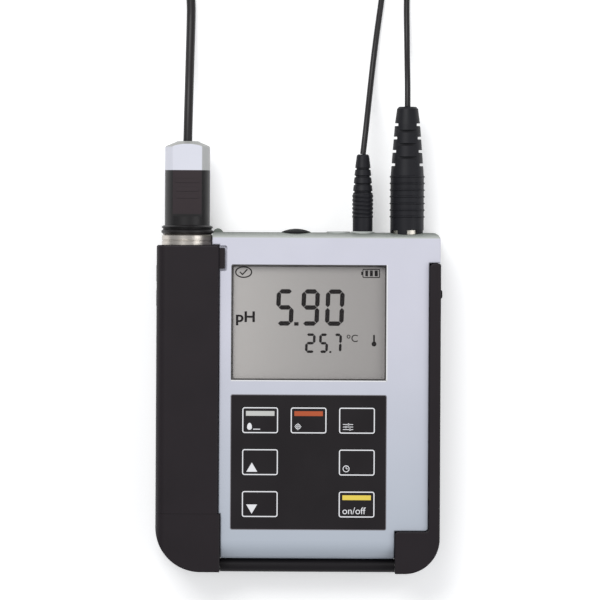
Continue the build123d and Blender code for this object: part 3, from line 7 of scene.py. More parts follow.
# %% Load the frame
import bpy
import numpy as np
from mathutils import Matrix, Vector


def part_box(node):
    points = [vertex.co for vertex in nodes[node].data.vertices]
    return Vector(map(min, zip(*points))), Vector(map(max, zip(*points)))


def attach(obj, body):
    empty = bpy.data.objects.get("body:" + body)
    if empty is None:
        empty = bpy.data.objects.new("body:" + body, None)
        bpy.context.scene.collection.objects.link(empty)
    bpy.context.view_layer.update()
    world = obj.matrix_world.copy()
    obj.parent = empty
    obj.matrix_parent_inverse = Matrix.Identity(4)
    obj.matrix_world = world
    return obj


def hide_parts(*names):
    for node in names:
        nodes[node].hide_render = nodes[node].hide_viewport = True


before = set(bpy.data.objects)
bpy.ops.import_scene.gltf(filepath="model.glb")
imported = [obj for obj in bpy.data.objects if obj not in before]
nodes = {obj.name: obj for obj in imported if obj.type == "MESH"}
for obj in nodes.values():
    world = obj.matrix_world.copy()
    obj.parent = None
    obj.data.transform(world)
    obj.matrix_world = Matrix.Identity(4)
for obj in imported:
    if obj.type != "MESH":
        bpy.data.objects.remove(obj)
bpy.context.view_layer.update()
MM = 0.001
print("nodes:", len(nodes))

# %% [markdown]
# New pieces are placed by the CAD pieces that carry them. The frame gives a node's two corners in
# metres, while this script counts in millimetres, so two helpers read a corner or a middle in those.

# %% A node's corners and middle
def corners_of(name):
    """The lowest and the highest corner of a CAD node, in millimetres."""
    low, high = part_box(name)
    return np.array(low) / MM, np.array(high) / MM


def middle_of(name):
    """Half the sum of the two corners."""
    low, high = corners_of(name)
    return (low + high) / 2


# %% [markdown]
# Printed frames, signs and display segments are thin layers of ink or crystal. A texture could paint
# them, but as closed meshes they keep sharp edges and ride on their own keys. Each one starts as an
# outline: a ring of 2-D points, worked out from angles and run anticlockwise.

# %% Outlines
def rounded_rectangle(x, y, width, height, radius, steps=6):
    """Corner arcs of one radius about four inner corners, run anticlockwise as one closed outline."""
    turn = np.linspace(0, np.pi / 2, steps)
    arc = radius * np.stack([np.cos(turn), np.sin(turn)], axis=1)
    corners = []
    for i, (sx, sy) in enumerate(((1, 1), (-1, 1), (-1, -1), (1, -1))):
        angle = i * np.pi / 2
        spin = np.array([[np.cos(angle), np.sin(angle)], [-np.sin(angle), np.cos(angle)]])
        corners.append(arc @ spin + [x + sx * (width / 2 - radius), y + sy * (height / 2 - radius)])
    return np.concatenate(corners)


def oval(x, y, width, height, steps=32):
    """An ellipse: half the width times the cosine and half the height times the sine of each angle."""
    turn = np.linspace(0, 2 * np.pi, steps, endpoint=False)
    return np.stack([x + width / 2 * np.cos(turn), y + height / 2 * np.sin(turn)], axis=1)


def circle(x, y, radius):
    """An oval that is as wide as it is high."""
    return oval(x, y, 2 * radius, 2 * radius)


def bar(start, end, width):
    """A straight stroke as a four-cornered outline: both ends moved sideways by half the width."""
    start, end = np.array(start, float), np.array(end, float)
    along = (end - start) / np.linalg.norm(end - start)
    side = np.array([-along[1], along[0]]) * width / 2
    return np.array([start - side, end - side, end + side, start + side])


# %% [markdown]
# An outline becomes a piece when it gets a thickness. The Solidify modifier could add it, but a prism
# is simple to write down: the outline at two heights, quads between the two rings and a face at each
# end. A band between two outlines has quads all round, so a frame has a real opening in it.

# %% Prisms
def stacked(outline, low, high):
    """The outline at two heights, in metres: the lower ring first, then the upper one."""
    flat = np.concatenate([outline, outline])
    heights = np.repeat([low, high], len(outline))[:, None]
    return np.hstack([flat, heights]) * MM


def plate_faces(count, start):
    """Side quads between the two rings, and one face at each end."""
    i = np.arange(count)
    j = (i + 1) % count
    sides = np.stack([i, j, j + count, i + count], axis=1) + start
    top = np.arange(count, 2 * count) + start
    bottom = np.arange(count)[::-1] + start
    return [list(map(int, face)) for face in sides] + [list(map(int, top)), list(map(int, bottom))]


def band_faces(count, start):
    """Outer and inner side quads, and the flat quads that join the two outlines at each end."""
    i = np.arange(count)
    j = (i + 1) % count
    inner = 2 * count
    outside = np.stack([i, j, j + count, i + count], axis=1)
    inside = np.stack([j, i, i + count, j + count], axis=1) + inner
    top = np.stack([i + count, j + count, j + count + inner, i + count + inner], axis=1)
    bottom = np.stack([j, i, i + inner, j + inner], axis=1)
    return [list(map(int, face)) for face in np.concatenate([outside, inside, top, bottom]) + start]


def new_piece(name, points, faces):
    """An object at the origin whose mesh holds the points and faces."""
    mesh = bpy.data.meshes.new(name)
    mesh.from_pydata(points.tolist(), [], faces)
    mesh.update()
    piece = bpy.data.objects.new(name, mesh)
    bpy.context.scene.collection.objects.link(piece)
    return piece


def prints(name, plates, bands, low, high):
    """One piece made of closed plates and closed bands between two heights, in millimetres."""
    points, faces, start = [], [], 0
    for outline in plates:
        points.append(stacked(outline, low, high))
        faces += plate_faces(len(outline), start)
        start += 2 * len(outline)
    for outer, inner in bands:
        points += [stacked(outer, low, high), stacked(inner, low, high)]
        faces += band_faces(len(outer), start)
        start += 4 * len(outer)
    return new_piece(name, np.concatenate(points), faces)


# %% [markdown]
# The display's units and the power key carry plain type. Drawing each letter as an outline would take
# long, and Blender's own font turns into a closed mesh with the right openings, so it does here. The
# mesh is scaled to the height that the letters have on the meter.

# %% Lettering
def lettering(name, words, x, y, height, low, high, widen=1.0, bold=0.0):
    """Generic signs as a closed mesh with its lower left at x, y: each point's distance from the
    text's own lower left is scaled, and its two sides go to the two heights."""
    text = bpy.data.curves.new(name + "_text", "FONT")
    text.body = words
    text.extrude = 0.5
    text.offset = bold
    holder = bpy.data.objects.new(name + "_text", text)
    bpy.context.scene.collection.objects.link(holder)
    mesh = bpy.data.meshes.new_from_object(holder)
    bpy.data.objects.remove(holder)
    points = np.empty(3 * len(mesh.vertices))
    mesh.vertices.foreach_get("co", points)
    points = points.reshape(-1, 3)
    least, most = points.min(axis=0), points.max(axis=0)
    scale = height / (most[1] - least[1])
    points[:, 0] = x + (points[:, 0] - least[0]) * scale * widen
    points[:, 1] = y + (points[:, 1] - least[1]) * scale
    points[:, 2] = np.where(points[:, 2] > 0, high, low)
    mesh.vertices.foreach_set("co", (points * MM).ravel())
    mesh.update()
    mesh.name = name
    piece = bpy.data.objects.new(name, mesh)
    bpy.context.scene.collection.objects.link(piece)
    return piece


# %% [markdown]
# Moulded plastic is never quite even. A fine noise gives the spark-eroded grain that a mould leaves,
# and a broad slow noise gives the slight cloudiness of handling. Each material could have its own
# copy of both, but one node group is built once, and each material says how much of it shows.

# %% The shared grain group
def socket(group, name, kind, way, value=None):
    """One named input or output of a node group, with its starting value."""
    made = group.interface.new_socket(name=name, in_out=way, socket_type=kind)
    if value is not None:
        made.default_value = value


def make_grain_group():
    """Height is a fine noise, and Cloud is a broad noise stretched to the full range."""
    group = bpy.data.node_groups.new("moulded_grain", "ShaderNodeTree")
    socket(group, "Vector", "NodeSocketVector", "INPUT")
    socket(group, "Grain Scale", "NodeSocketFloat", "INPUT", 2500.0)
    socket(group, "Cloud Scale", "NodeSocketFloat", "INPUT", 40.0)
    socket(group, "Height", "NodeSocketFloat", "OUTPUT")
    socket(group, "Cloud", "NodeSocketFloat", "OUTPUT")
    entry = group.nodes.new("NodeGroupInput")
    leave = group.nodes.new("NodeGroupOutput")
    fine = group.nodes.new("ShaderNodeTexNoise")
    fine.inputs["Detail"].default_value = 3.0
    fine.inputs["Roughness"].default_value = 0.6
    broad = group.nodes.new("ShaderNodeTexNoise")
    broad.inputs["Detail"].default_value = 4.0
    spread = group.nodes.new("ShaderNodeMapRange")
    spread.inputs["From Min"].default_value = 0.3
    spread.inputs["From Max"].default_value = 0.7
    link = group.links.new
    link(entry.outputs["Vector"], fine.inputs["Vector"])
    link(entry.outputs["Grain Scale"], fine.inputs["Scale"])
    link(entry.outputs["Vector"], broad.inputs["Vector"])
    link(entry.outputs["Cloud Scale"], broad.inputs["Scale"])
    link(broad.outputs["Fac"], spread.inputs["Value"])
    link(fine.outputs["Fac"], leave.inputs["Height"])
    link(spread.outputs["Result"], leave.inputs["Cloud"])
    return group


grain_group = make_grain_group()
print("grain group nodes:", len(grain_group.nodes))

# %% [markdown]
# Brushed and turned metal carries fine lines. An image could hold them, but a noise stretched along
# one axis draws them at any scale: the quiver's ring is turned, so its lines run round it and are
# close together along its own axis, which is Y.

# %% The shared brushing group
ROUND_Y = (60.0, 4000.0, 60.0)


def make_brushing_group():
    """A noise whose coordinates are scaled far more across the lines than along them."""
    group = bpy.data.node_groups.new("brushed_lines", "ShaderNodeTree")
    socket(group, "Vector", "NodeSocketVector", "INPUT")
    socket(group, "Stretch", "NodeSocketVector", "INPUT", ROUND_Y)
    socket(group, "Height", "NodeSocketFloat", "OUTPUT")
    entry = group.nodes.new("NodeGroupInput")
    leave = group.nodes.new("NodeGroupOutput")
    scaled = group.nodes.new("ShaderNodeVectorMath")
    scaled.operation = "MULTIPLY"
    lines = group.nodes.new("ShaderNodeTexNoise")
    lines.inputs["Scale"].default_value = 1.0
    lines.inputs["Detail"].default_value = 4.0
    link = group.links.new
    link(entry.outputs["Vector"], scaled.inputs[0])
    link(entry.outputs["Stretch"], scaled.inputs[1])
    link(scaled.outputs["Vector"], lines.inputs["Vector"])
    link(lines.outputs["Fac"], leave.inputs["Height"])
    return group


brushing_group = make_brushing_group()
print("brushing group nodes:", len(brushing_group.nodes))

# %% [markdown]
# Every material starts from the same small set: a shader, a shared group on the piece's own
# coordinates, and a bump. Helpers for these keep each finish down to one line, and the values that
# are the same all over a surface are written on the shader's own sockets.

# %% Material helpers
def srgb(red, green, blue):
    """A colour written as it looks on screen, 0 to 255, turned into Blender's linear values."""
    value = np.array([red, green, blue]) / 255
    linear = np.where(value <= 0.04045, value / 12.92, ((value + 0.055) / 1.055) ** 2.4)
    return (*map(float, linear), 1.0)


def new_material(name):
    material = bpy.data.materials.new(name)
    material.use_nodes = True
    return material


def shader_of(material):
    return next(node for node in material.node_tree.nodes if node.type == "BSDF_PRINCIPLED")


def add_group(material, group):
    """Places a shared group and feeds it the piece's own coordinates."""
    node = material.node_tree.nodes.new("ShaderNodeGroup")
    node.node_tree = group
    place = material.node_tree.nodes.new("ShaderNodeTexCoord")
    material.node_tree.links.new(place.outputs["Object"], node.inputs["Vector"])
    return node


def add_bump(material, height, strength, distance):
    """Turns a height into a tilt of the surface."""
    bump = material.node_tree.nodes.new("ShaderNodeBump")
    bump.inputs["Strength"].default_value = strength
    bump.inputs["Distance"].default_value = distance
    material.node_tree.links.new(height, bump.inputs["Height"])
    material.node_tree.links.new(bump.outputs["Normal"], shader_of(material).inputs["Normal"])


def blend_colours(material, mask, first, second):
    """The first colour where the mask is 0, and the second where it is 1."""
    mix = material.node_tree.nodes.new("ShaderNodeMix")
    mix.data_type = "RGBA"
    mix.inputs["A"].default_value = first
    mix.inputs["B"].default_value = second
    material.node_tree.links.new(mask, mix.inputs["Factor"])
    return mix.outputs["Result"]


def between(material, mask, low, high):
    """Turns a mask of 0 to 1 into values from low to high."""
    span = material.node_tree.nodes.new("ShaderNodeMapRange")
    span.inputs["To Min"].default_value = low
    span.inputs["To Max"].default_value = high
    material.node_tree.links.new(mask, span.inputs["Value"])
    return span.outputs["Result"]


def dress(material, *names):
    """Gives each CAD node's object its material, in every slot it has."""
    for name in names:
        mesh = nodes[name].data
        for i in range(len(mesh.materials)):
            mesh.materials[i] = material


# %% [markdown]
# Some pieces change colour along their length, such as the shell, which takes painted shade where it
# rolls over into its end wall.
# They could be cut into several pieces, but a ramp along one of the piece's own axes needs no cut and
# stays in place when the camera or the piece moves.

# %% Colours along a piece
def ramp(material, axis, start, end):
    """0 before start and 1 after end, in millimetres along one axis of the piece's own coordinates.
    With start above end it rises the other way."""
    tree = material.node_tree
    place = tree.nodes.new("ShaderNodeTexCoord")
    split = tree.nodes.new("ShaderNodeSeparateXYZ")
    step = tree.nodes.new("ShaderNodeMapRange")
    step.inputs["From Min"].default_value = start * MM
    step.inputs["From Max"].default_value = end * MM
    tree.links.new(place.outputs["Object"], split.inputs["Vector"])
    tree.links.new(split.outputs[axis], step.inputs["Value"])
    return step.outputs["Result"]


def combined(material, operation, first, second):
    """One mask made of two by plain arithmetic, such as MULTIPLY or SUBTRACT."""
    node = material.node_tree.nodes.new("ShaderNodeMath")
    node.operation = operation
    material.node_tree.links.new(first, node.inputs[0])
    material.node_tree.links.new(second, node.inputs[1])
    return node.outputs["Value"]


def colour_over(material, mask, colour):
    """Mixes one more colour over the base colour where the mask is 1."""
    tree = material.node_tree
    shader = shader_of(material)
    mix = tree.nodes.new("ShaderNodeMix")
    mix.data_type = "RGBA"
    tree.links.new(mask, mix.inputs["Factor"])
    tree.links.new(shader.inputs["Base Color"].links[0].from_socket, mix.inputs["A"])
    mix.inputs["B"].default_value = colour
    tree.links.new(mix.outputs["Result"], shader.inputs["Base Color"])


# %% [markdown]
# Nearly all of the meter is moulded plastic or plated and turned metal, so two recipes make nearly
# all of its finishes. Plastic wanders between a darker and a lighter version of its colour, and metal
# has its lines in the roughness and in the bump.

# %% Plastic and metal
GRAIN_DEPTH = 0.0001
LINE_DEPTH = 0.00005
CLOUD_ROUGHNESS = 0.04
SMOOTHER, ROUGHER = 0.08, 0.12


def plastic(name, colour, roughness=0.5, specular=0.3, grain=0.1, grain_scale=2500.0, cloud=0.06):
    """Moulded plastic: a wandering colour and roughness over a fine grain."""
    material = new_material(name)
    shader = shader_of(material)
    shader.inputs["Specular IOR Level"].default_value = specular
    group = add_group(material, grain_group)
    group.inputs["Grain Scale"].default_value = grain_scale
    base = np.array(colour[:3])
    dark = (*map(float, base * (1 - cloud)), 1.0)
    light = (*map(float, base * (1 + cloud)), 1.0)
    smooth, rough = roughness - CLOUD_ROUGHNESS, roughness + CLOUD_ROUGHNESS
    tint = blend_colours(material, group.outputs["Cloud"], dark, light)
    wander = between(material, group.outputs["Cloud"], smooth, rough)
    material.node_tree.links.new(tint, shader.inputs["Base Color"])
    material.node_tree.links.new(wander, shader.inputs["Roughness"])
    add_bump(material, group.outputs["Height"], grain, GRAIN_DEPTH)
    return material


def metal(name, colour, roughness=0.3, stretch=ROUND_Y, depth=0.25):
    """Turned or brushed metal: lines in the normal and in the roughness."""
    material = new_material(name)
    shader = shader_of(material)
    shader.inputs["Metallic"].default_value = 1.0
    shader.inputs["Base Color"].default_value = colour
    group = add_group(material, brushing_group)
    group.inputs["Stretch"].default_value = stretch
    lines = between(material, group.outputs["Height"], roughness - SMOOTHER, roughness + ROUGHER)
    material.node_tree.links.new(lines, shader.inputs["Roughness"])
    add_bump(material, group.outputs["Height"], depth, LINE_DEPTH)
    return material


# %% [markdown]
# The front shell is pale grey with a slight violet cast. Towards the bottom it is painted cooler and
# darker: painted shade where the face rolls off at its foot. Its end wall, which curves away at the top,
# steps to a grey-green that is partly its own colour and partly painted shade, and darkens towards the
# far edge as painted shade. Light alone would give that in one view only, so three ramps along Y paint
# it into the shell's own colour.

# %% The shell's finish
# Where the painted shade on the face and on the end wall begins and ends, in millimetres along Y.
BOTTOM_SHADE_FROM_Y, BOTTOM_SHADE_TO_Y = 35.0, -72.0
FACE_TOP_Y = 74.9
WALL_EDGE = 0.4
WALL_SHADE_FROM, WALL_SHADE_TO = 0.6, 2.6
shell_grey = plastic("shell_grey", srgb(201, 201, 212), roughness=0.48, specular=0.4, grain=0.08, cloud=0.02)
# Painted shade: the face turns cooler and darker towards its foot.
colour_over(shell_grey, ramp(shell_grey, "Y", BOTTOM_SHADE_FROM_Y, BOTTOM_SHADE_TO_Y), srgb(172, 180, 190))
# The end wall's grey-green: partly its own colour, partly painted shade.
colour_over(shell_grey, ramp(shell_grey, "Y", FACE_TOP_Y, FACE_TOP_Y + WALL_EDGE), srgb(178, 182, 177))
# Painted shade: the end wall darkens towards its far edge.
wall_painted_shade = ramp(shell_grey, "Y", FACE_TOP_Y + WALL_SHADE_FROM, FACE_TOP_Y + WALL_SHADE_TO)
colour_over(shell_grey, wall_painted_shade, srgb(104, 111, 104))
dress(shell_grey, "front_shell")
print("shell:", shell_grey.name)

# %% [markdown]
# The quiver, the corner blocks and the strip are a tougher black plastic with a coarser grain, and
# the cover is a duller one. Seals and the dust cap are matt rubber. The ring and the plug parts are
# turned or plated, and the screws only have a fine tooth.

# %% The housing's other finishes
EVEN_TOOTH = (900.0, 900.0, 900.0)
rear_grey = plastic("rear_grey", srgb(118, 122, 117), roughness=0.55, grain=0.12, cloud=0.04)
guard_black = plastic("guard_black", srgb(29, 23, 27), roughness=0.5, specular=0.22, grain=0.16, cloud=0.1)
cover_black = plastic("cover_black", srgb(24, 21, 24), roughness=0.55, specular=0.2, grain=0.18, cloud=0.1)
inner_black = plastic("inner_black", srgb(26, 25, 27), roughness=0.6, specular=0.2, cloud=0.05)
socket_light = plastic("socket_light", srgb(176, 180, 176), roughness=0.5, cloud=0.03)
seal_rubber = plastic("seal_rubber", srgb(30, 30, 31), roughness=0.75, specular=0.15, grain=0.2, cloud=0.08)
screw_steel = metal("screw_steel", srgb(186, 184, 180), roughness=0.32, stretch=EVEN_TOOTH, depth=0.1)
ring_steel = metal("ring_steel", srgb(196, 190, 182), roughness=0.3, stretch=(60.0, 5000.0, 60.0))
nickel = metal("nickel", srgb(222, 217, 206), roughness=0.36, stretch=(90.0, 3000.0, 90.0), depth=0.08)
dress(rear_grey, "rear_shell", "battery_door")
dress(guard_black, "left_corner_block", "right_bumper", "quiver_sleeve", "quiver_catch")
dress(cover_black, "cover_panel", "cover_spine", "hang_hook")
dress(inner_black, "quiver_liner", "ph_socket_core", "cap_socket")
dress(socket_light, "temp_sockets")
dress(seal_rubber, "housing_gasket", "door_seal", "probe_seal", "dust_cap")
dress(screw_steel, "housing_screws", "door_screws", "hook_pin", "spine_pins", "cover_pin")
dress(ring_steel, "quiver_ring")
dress(nickel, "ph_socket", "ph_plug_collar", "temp_plug_pin")
print("materials in the scene:", len(bpy.data.materials))

# %% [markdown]
# Behind the face sit pieces that only show through gaps or when the battery door is off: the board
# with its green mask, the sprung contacts, and plain metal-sleeved cells. They get the same two
# recipes, because a plain colour would look wrong once the door is opened.

# %% The inner finishes
board_green = plastic(
    "board_green", srgb(34, 92, 58), roughness=0.4, specular=0.4, grain=0.3, grain_scale=900.0, cloud=0.18,
)
cell_sleeve = metal(
    "cell_sleeve", srgb(150, 152, 158), roughness=0.28, stretch=(900.0, 60.0, 900.0), depth=0.08,
)
contact_steel = metal(
    "contact_steel", srgb(200, 196, 188), roughness=0.25, stretch=(500.0, 500.0, 500.0), depth=0.1,
)
frame_grey = plastic("frame_grey", srgb(176, 173, 170), roughness=0.6, grain=0.1, cloud=0.03)
dress(board_green, "circuit_board")
dress(cell_sleeve, "batteries")
dress(contact_steel, "battery_contacts", "key_domes")
dress(frame_grey, "lcd_frame")
print("materials in the scene:", len(bpy.data.materials))

# %% [markdown]
# The electrode has a satin black grip, a pale cap that the cable comes out of, a glossy shaft and a
# glass bulb. The plug boots are rubber with a bluish black bloom. Only the bulb needs a material of
# its own kind, which lets light through.

# %% The electrode's and the plugs' finishes
cap_grey = plastic("cap_grey", srgb(212, 213, 222), roughness=0.4, specular=0.45, grain=0.06, cloud=0.02)
grip_black = plastic("grip_black", srgb(19, 17, 18), roughness=0.42, specular=0.35, grain=0.12, cloud=0.08)
shaft_black = plastic("shaft_black", srgb(28, 28, 30), roughness=0.25, specular=0.5, grain=0.03, cloud=0.04)
boot_rubber = plastic(
    "boot_rubber", srgb(21, 21, 26), roughness=0.5, specular=0.25, grain=0.2, grain_scale=1800.0, cloud=0.12,
)
cable_rubber = plastic("cable_rubber", srgb(24, 21, 22), roughness=0.42, specular=0.4, grain=0.1, cloud=0.1)
bulb_glass = new_material("bulb_glass")
bulb_shader = shader_of(bulb_glass)
bulb_shader.inputs["Base Color"].default_value = srgb(222, 232, 236)
bulb_shader.inputs["Roughness"].default_value = 0.04
bulb_shader.inputs["Transmission Weight"].default_value = 0.9
bulb_shader.inputs["Alpha"].default_value = 0.5
dress(cap_grey, "probe_cap")
dress(grip_black, "probe_grip")
dress(shaft_black, "probe_shaft")
dress(boot_rubber, "ph_plug_boot", "temp_plug_boot", "cable_splitter")
dress(bulb_glass, "probe_bulb")
print("materials in the scene:", len(bpy.data.materials))

# %% [markdown]
# The grip has a flat pad on its front, which is a little browner than the rest. The cap's right facet
# and its cone are painted greyer than its flat: painted shade on the sides that turn away from the
# light. The CAD has these shapes, so only their colours are missing, and masks made of ramps pick them out.

# %% The pad on the grip and the painted shade on the cap's facets
PROBE_X, _, PROBE_Z = middle_of("probe_cap")
PAD_HALF = 6.5
PAD_FOOT_Y = 85.6
PAD_Z = PROBE_Z + 7.6
PAD_EDGE = 0.2
PAD_FOOT_EDGE = 0.3
FACET_EDGE = 0.4
CONE_FROM_Y, CONE_TO_Y = 116.0, 117.0
pad_left = ramp(grip_black, "X", PROBE_X - PAD_HALF - PAD_EDGE, PROBE_X - PAD_HALF)
pad_right = ramp(grip_black, "X", PROBE_X + PAD_HALF, PROBE_X + PAD_HALF + PAD_EDGE)
pad_foot = ramp(grip_black, "Y", PAD_FOOT_Y, PAD_FOOT_Y + PAD_FOOT_EDGE)
pad_strip = combined(grip_black, "SUBTRACT", pad_left, pad_right)
colour_over(grip_black, combined(grip_black, "MULTIPLY", pad_strip, pad_foot), srgb(39, 28, 32))
# Painted shade: the cap's right facet, turned away from the light, is painted greyer.
right_facet_painted_shade = ramp(cap_grey, "X", PROBE_X + PAD_HALF, PROBE_X + PAD_HALF + FACET_EDGE)
colour_over(cap_grey, right_facet_painted_shade, srgb(178, 179, 178))
# Painted shade: the cap's cone, below the flat and past the cone's start, is painted greyer still.
under_flat = ramp(cap_grey, "Z", PAD_Z + 0.1, PAD_Z)
past_cone_painted_shade = ramp(cap_grey, "Y", CONE_FROM_Y, CONE_TO_Y)
colour_over(cap_grey, combined(cap_grey, "MULTIPLY", under_flat, past_cone_painted_shade), srgb(158, 159, 155))
print("electrode's axis in mm:", PROBE_X, PROBE_Z)

# %% [markdown]
# The cable leaves the electrode's cap straight, comes down to the bench in a long slope and ends in
# a neat coil. It could be a chain of straight tubes and bends, but one NURBS line has no joint
# anywhere, so it looks like something flexible. The route's points are listed one by one.

# %% The cable's route
CAP_TOP = corners_of("probe_cap")[1][1]
COIL_X, COIL_Y, _ = middle_of("main_cable_coil")
CABLE_R = 2.05
COIL_R = 22.6
COIL_GAP = 0.15
COIL_MEET = COIL_R + 4 * CABLE_R + COIL_GAP
COIL_START_TURN = np.radians(200.8)
COIL_END_TURN = np.radians(60.0)
TAIL_X = COIL_X + COIL_MEET * np.cos(COIL_END_TURN)
TAIL_Y = COIL_Y + COIL_MEET * np.sin(COIL_END_TURN)
route_to_coil = [
    (PROBE_X, CAP_TOP + 0.1, PROBE_Z),
    (PROBE_X + 0.2, 131.0, 15.9),
    (PROBE_X + 0.5, 145.0, 12.2),
    (PROBE_X + 0.7, 159.0, 6.6),
    (PROBE_X + 1.0, 173.0, 2.9),
    (PROBE_X + 1.1, 184.5, 2.3),
    (PROBE_X - 0.8, 195.5, 2.1),
    (COIL_X + COIL_MEET * np.cos(COIL_START_TURN), COIL_Y + COIL_MEET * np.sin(COIL_START_TURN), 2.1),
]
route_to_splitter = [
    (TAIL_X - 7.6, TAIL_Y, 5.9),
    (TAIL_X, TAIL_Y, 5.2),
    (TAIL_X + 4.7, TAIL_Y - 0.1, 4.6),
    (TAIL_X + 9.4, TAIL_Y - 0.4, 4.2),
]
print("coil's middle in mm:", COIL_X, COIL_Y)

# %% [markdown]
# Put away, the rest of the cable is wound three turns wide on the bench, with three more turns on top
# of them. A spiral with one steady pitch would leave gaps between the turns, so the radius stays the
# same for most of a turn and steps by one cable at its end.

# %% The cable's turns
TURNS = 6.25
POINTS_PER_TURN = 20
STEP_AT = 0.82
RISE_FROM, RISE_TO = 2.68, 3.0


def eased(value, start, end):
    """0 before start, 1 after end, and a smooth step between them: 3 s squared less 2 s cubed."""
    share = np.clip((value - start) / (end - start), 0, 1)
    return share * share * (3 - 2 * share)


def coil_points():
    """Angle falls with the turn number, the radius steps by a diameter near the end of each turn,
    inwards on the bench and outwards above, and the height steps up before the fourth turn."""
    turn = np.arange(0, int(TURNS * POINTS_PER_TURN) + 1) / POINTS_PER_TURN
    step = 2 * CABLE_R
    inwards = sum(eased(turn, lap + STEP_AT, lap + 1) for lap in (0, 1))
    outwards = sum(eased(turn, lap + STEP_AT, lap + 1) for lap in (3, 4))
    radius = (COIL_R + step * (1 - inwards + outwards)) / np.cos(np.pi / POINTS_PER_TURN) ** 0.5
    angle = np.pi - 2 * np.pi * turn
    height = CABLE_R + step * eased(turn, RISE_FROM, RISE_TO)
    return np.stack([COIL_X + radius * np.cos(angle), COIL_Y + radius * np.sin(angle), height], axis=1)


cable_line = np.concatenate([route_to_coil, coil_points(), route_to_splitter])
print("cable points:", len(cable_line))

# %% [markdown]
# A curve with a bevel gives the line its round section. A swept mesh would do as well, but a curve
# stays one open spline, which the frame can measure. The cable stands for three CAD solids: the free
# run, the coil and the short tail.

# %% The cable
def nurbs_cord(name, points, radius):
    """A smooth line of order 3 through its end points, with a round section."""
    curve = bpy.data.curves.new(name, "CURVE")
    curve.dimensions = "3D"
    curve.bevel_depth = radius * MM
    curve.bevel_resolution = 5
    curve.use_fill_caps = True
    curve.resolution_u = 8
    spline = curve.splines.new("NURBS")
    spline.points.add(len(points) - 1)
    full = np.hstack([np.array(points) * MM, np.ones((len(points), 1))])
    spline.points.foreach_set("co", full.ravel())
    spline.order_u = 3
    spline.use_endpoint_u = True
    piece = bpy.data.objects.new(name, curve)
    piece.data.materials.append(cable_rubber)
    bpy.context.scene.collection.objects.link(piece)
    return piece


cable = nurbs_cord("electrode_cable", cable_line, CABLE_R)
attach(cable, "sensor_set")
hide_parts("main_cable", "main_cable_coil", "main_cable_tail")
print("cable:", cable.name)

# %% [markdown]
# A small moulded splitter parts the cable into two thin leads. Each one runs back along the bench and
# rises into its plug's boot. Their points are the ones that the CAD tubes follow, apart from the last,
# which comes nearer to the splitter.

# %% The two leads' routes
LEAD_R = 1.35
PH_X, _, SOCKET_Z = middle_of("ph_plug_boot")
PH_TOP = corners_of("ph_plug_boot")[1][1]
TEMP_X = middle_of("temp_plug_boot")[0]
TEMP_TOP = corners_of("temp_plug_boot")[1][1]
SPLITTER_START_X = TAIL_X + 9.45
SPLITTER_LENGTH = 22.0
SPLITTER_END = (SPLITTER_START_X + SPLITTER_LENGTH, TAIL_Y - 1.6)
SPLITTER_Z = 4.2
LEADS_X = SPLITTER_END[0] + 0.1
LEAD_SPREAD = 2.4
ph_route = [
    (PH_X, PH_TOP + 0.15, SOCKET_Z),
    (PH_X, 143.5, 15.2),
    (PH_X - 0.1, 152.0, 11.7),
    (PH_X - 0.2, 161.0, 6.6),
    (PH_X - 0.3, 171.0, 2.8),
    (PH_X - 0.5, 182.0, 1.6),
    (PH_X - 0.2, 195.0, 1.5),
    (PH_X - 0.9, 208.0, 1.6),
    (PH_X - 4.6, 220.5, 1.5),
    (PH_X - 11.4, 231.5, 1.8),
    (PH_X - 20.0, 241.2, 2.9),
    (LEADS_X, SPLITTER_END[1] + LEAD_SPREAD, SPLITTER_Z),
]
temp_route = [
    (TEMP_X, TEMP_TOP + 0.2, SOCKET_Z),
    (TEMP_X + 0.9, 121.5, 15.3),
    (TEMP_X + 1.8, 130.0, 12.4),
    (TEMP_X + 2.8, 139.5, 7.8),
    (TEMP_X + 3.9, 150.0, 3.7),
    (TEMP_X + 5.2, 161.5, 1.8),
    (TEMP_X + 6.8, 174.0, 1.5),
    (TEMP_X + 8.6, 187.0, 1.6),
    (TEMP_X + 9.3, 200.0, 1.5),
    (TEMP_X + 8.2, 212.5, 1.6),
    (TEMP_X + 4.6, 223.5, 1.7),
    (TEMP_X - 0.4, 234.3, 2.8),
    (LEADS_X, SPLITTER_END[1] - LEAD_SPREAD, SPLITTER_Z),
]
print("plugs' axes in mm:", PH_X, TEMP_X)

# %% [markdown]
# The two leads differ only in their route, their length and the plug that they end in, so one loop
# makes both. Each leaves the splitter, which lies on the cable that was made before them.

# %% The two leads
for lead_name, route, length, plug in (
    ("ph_lead", ph_route, 0.122, ("ph_plug_boot", "ph_plug_collar")),
    ("temp_lead", temp_route, 0.134, ("temp_plug_boot", "temp_plug_pin")),
):
    lead = nurbs_cord(lead_name + "_cord", route, LEAD_R)
    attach(lead, "sensor_set")
    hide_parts(lead_name)
    print("lead:", lead.name, "points:", len(route))

# %% [markdown]
# The display is a reflective liquid-crystal glass under a clear pane. Two ramps across it paint its
# grey lighter at the left, as painted light from the lamp's side, and darker at the right, as painted
# shade. The pane could be true glass, but a thin clear coat with a low alpha shows the same and adds no
# noise over the digits.

# %% The display's glass and pane
GLASS_LEFT, GLASS_RIGHT = -31.0, 41.0
lcd_grey = plastic("lcd_grey", srgb(176, 173, 170), roughness=0.45, specular=0.2, grain=0.05, cloud=0.015)
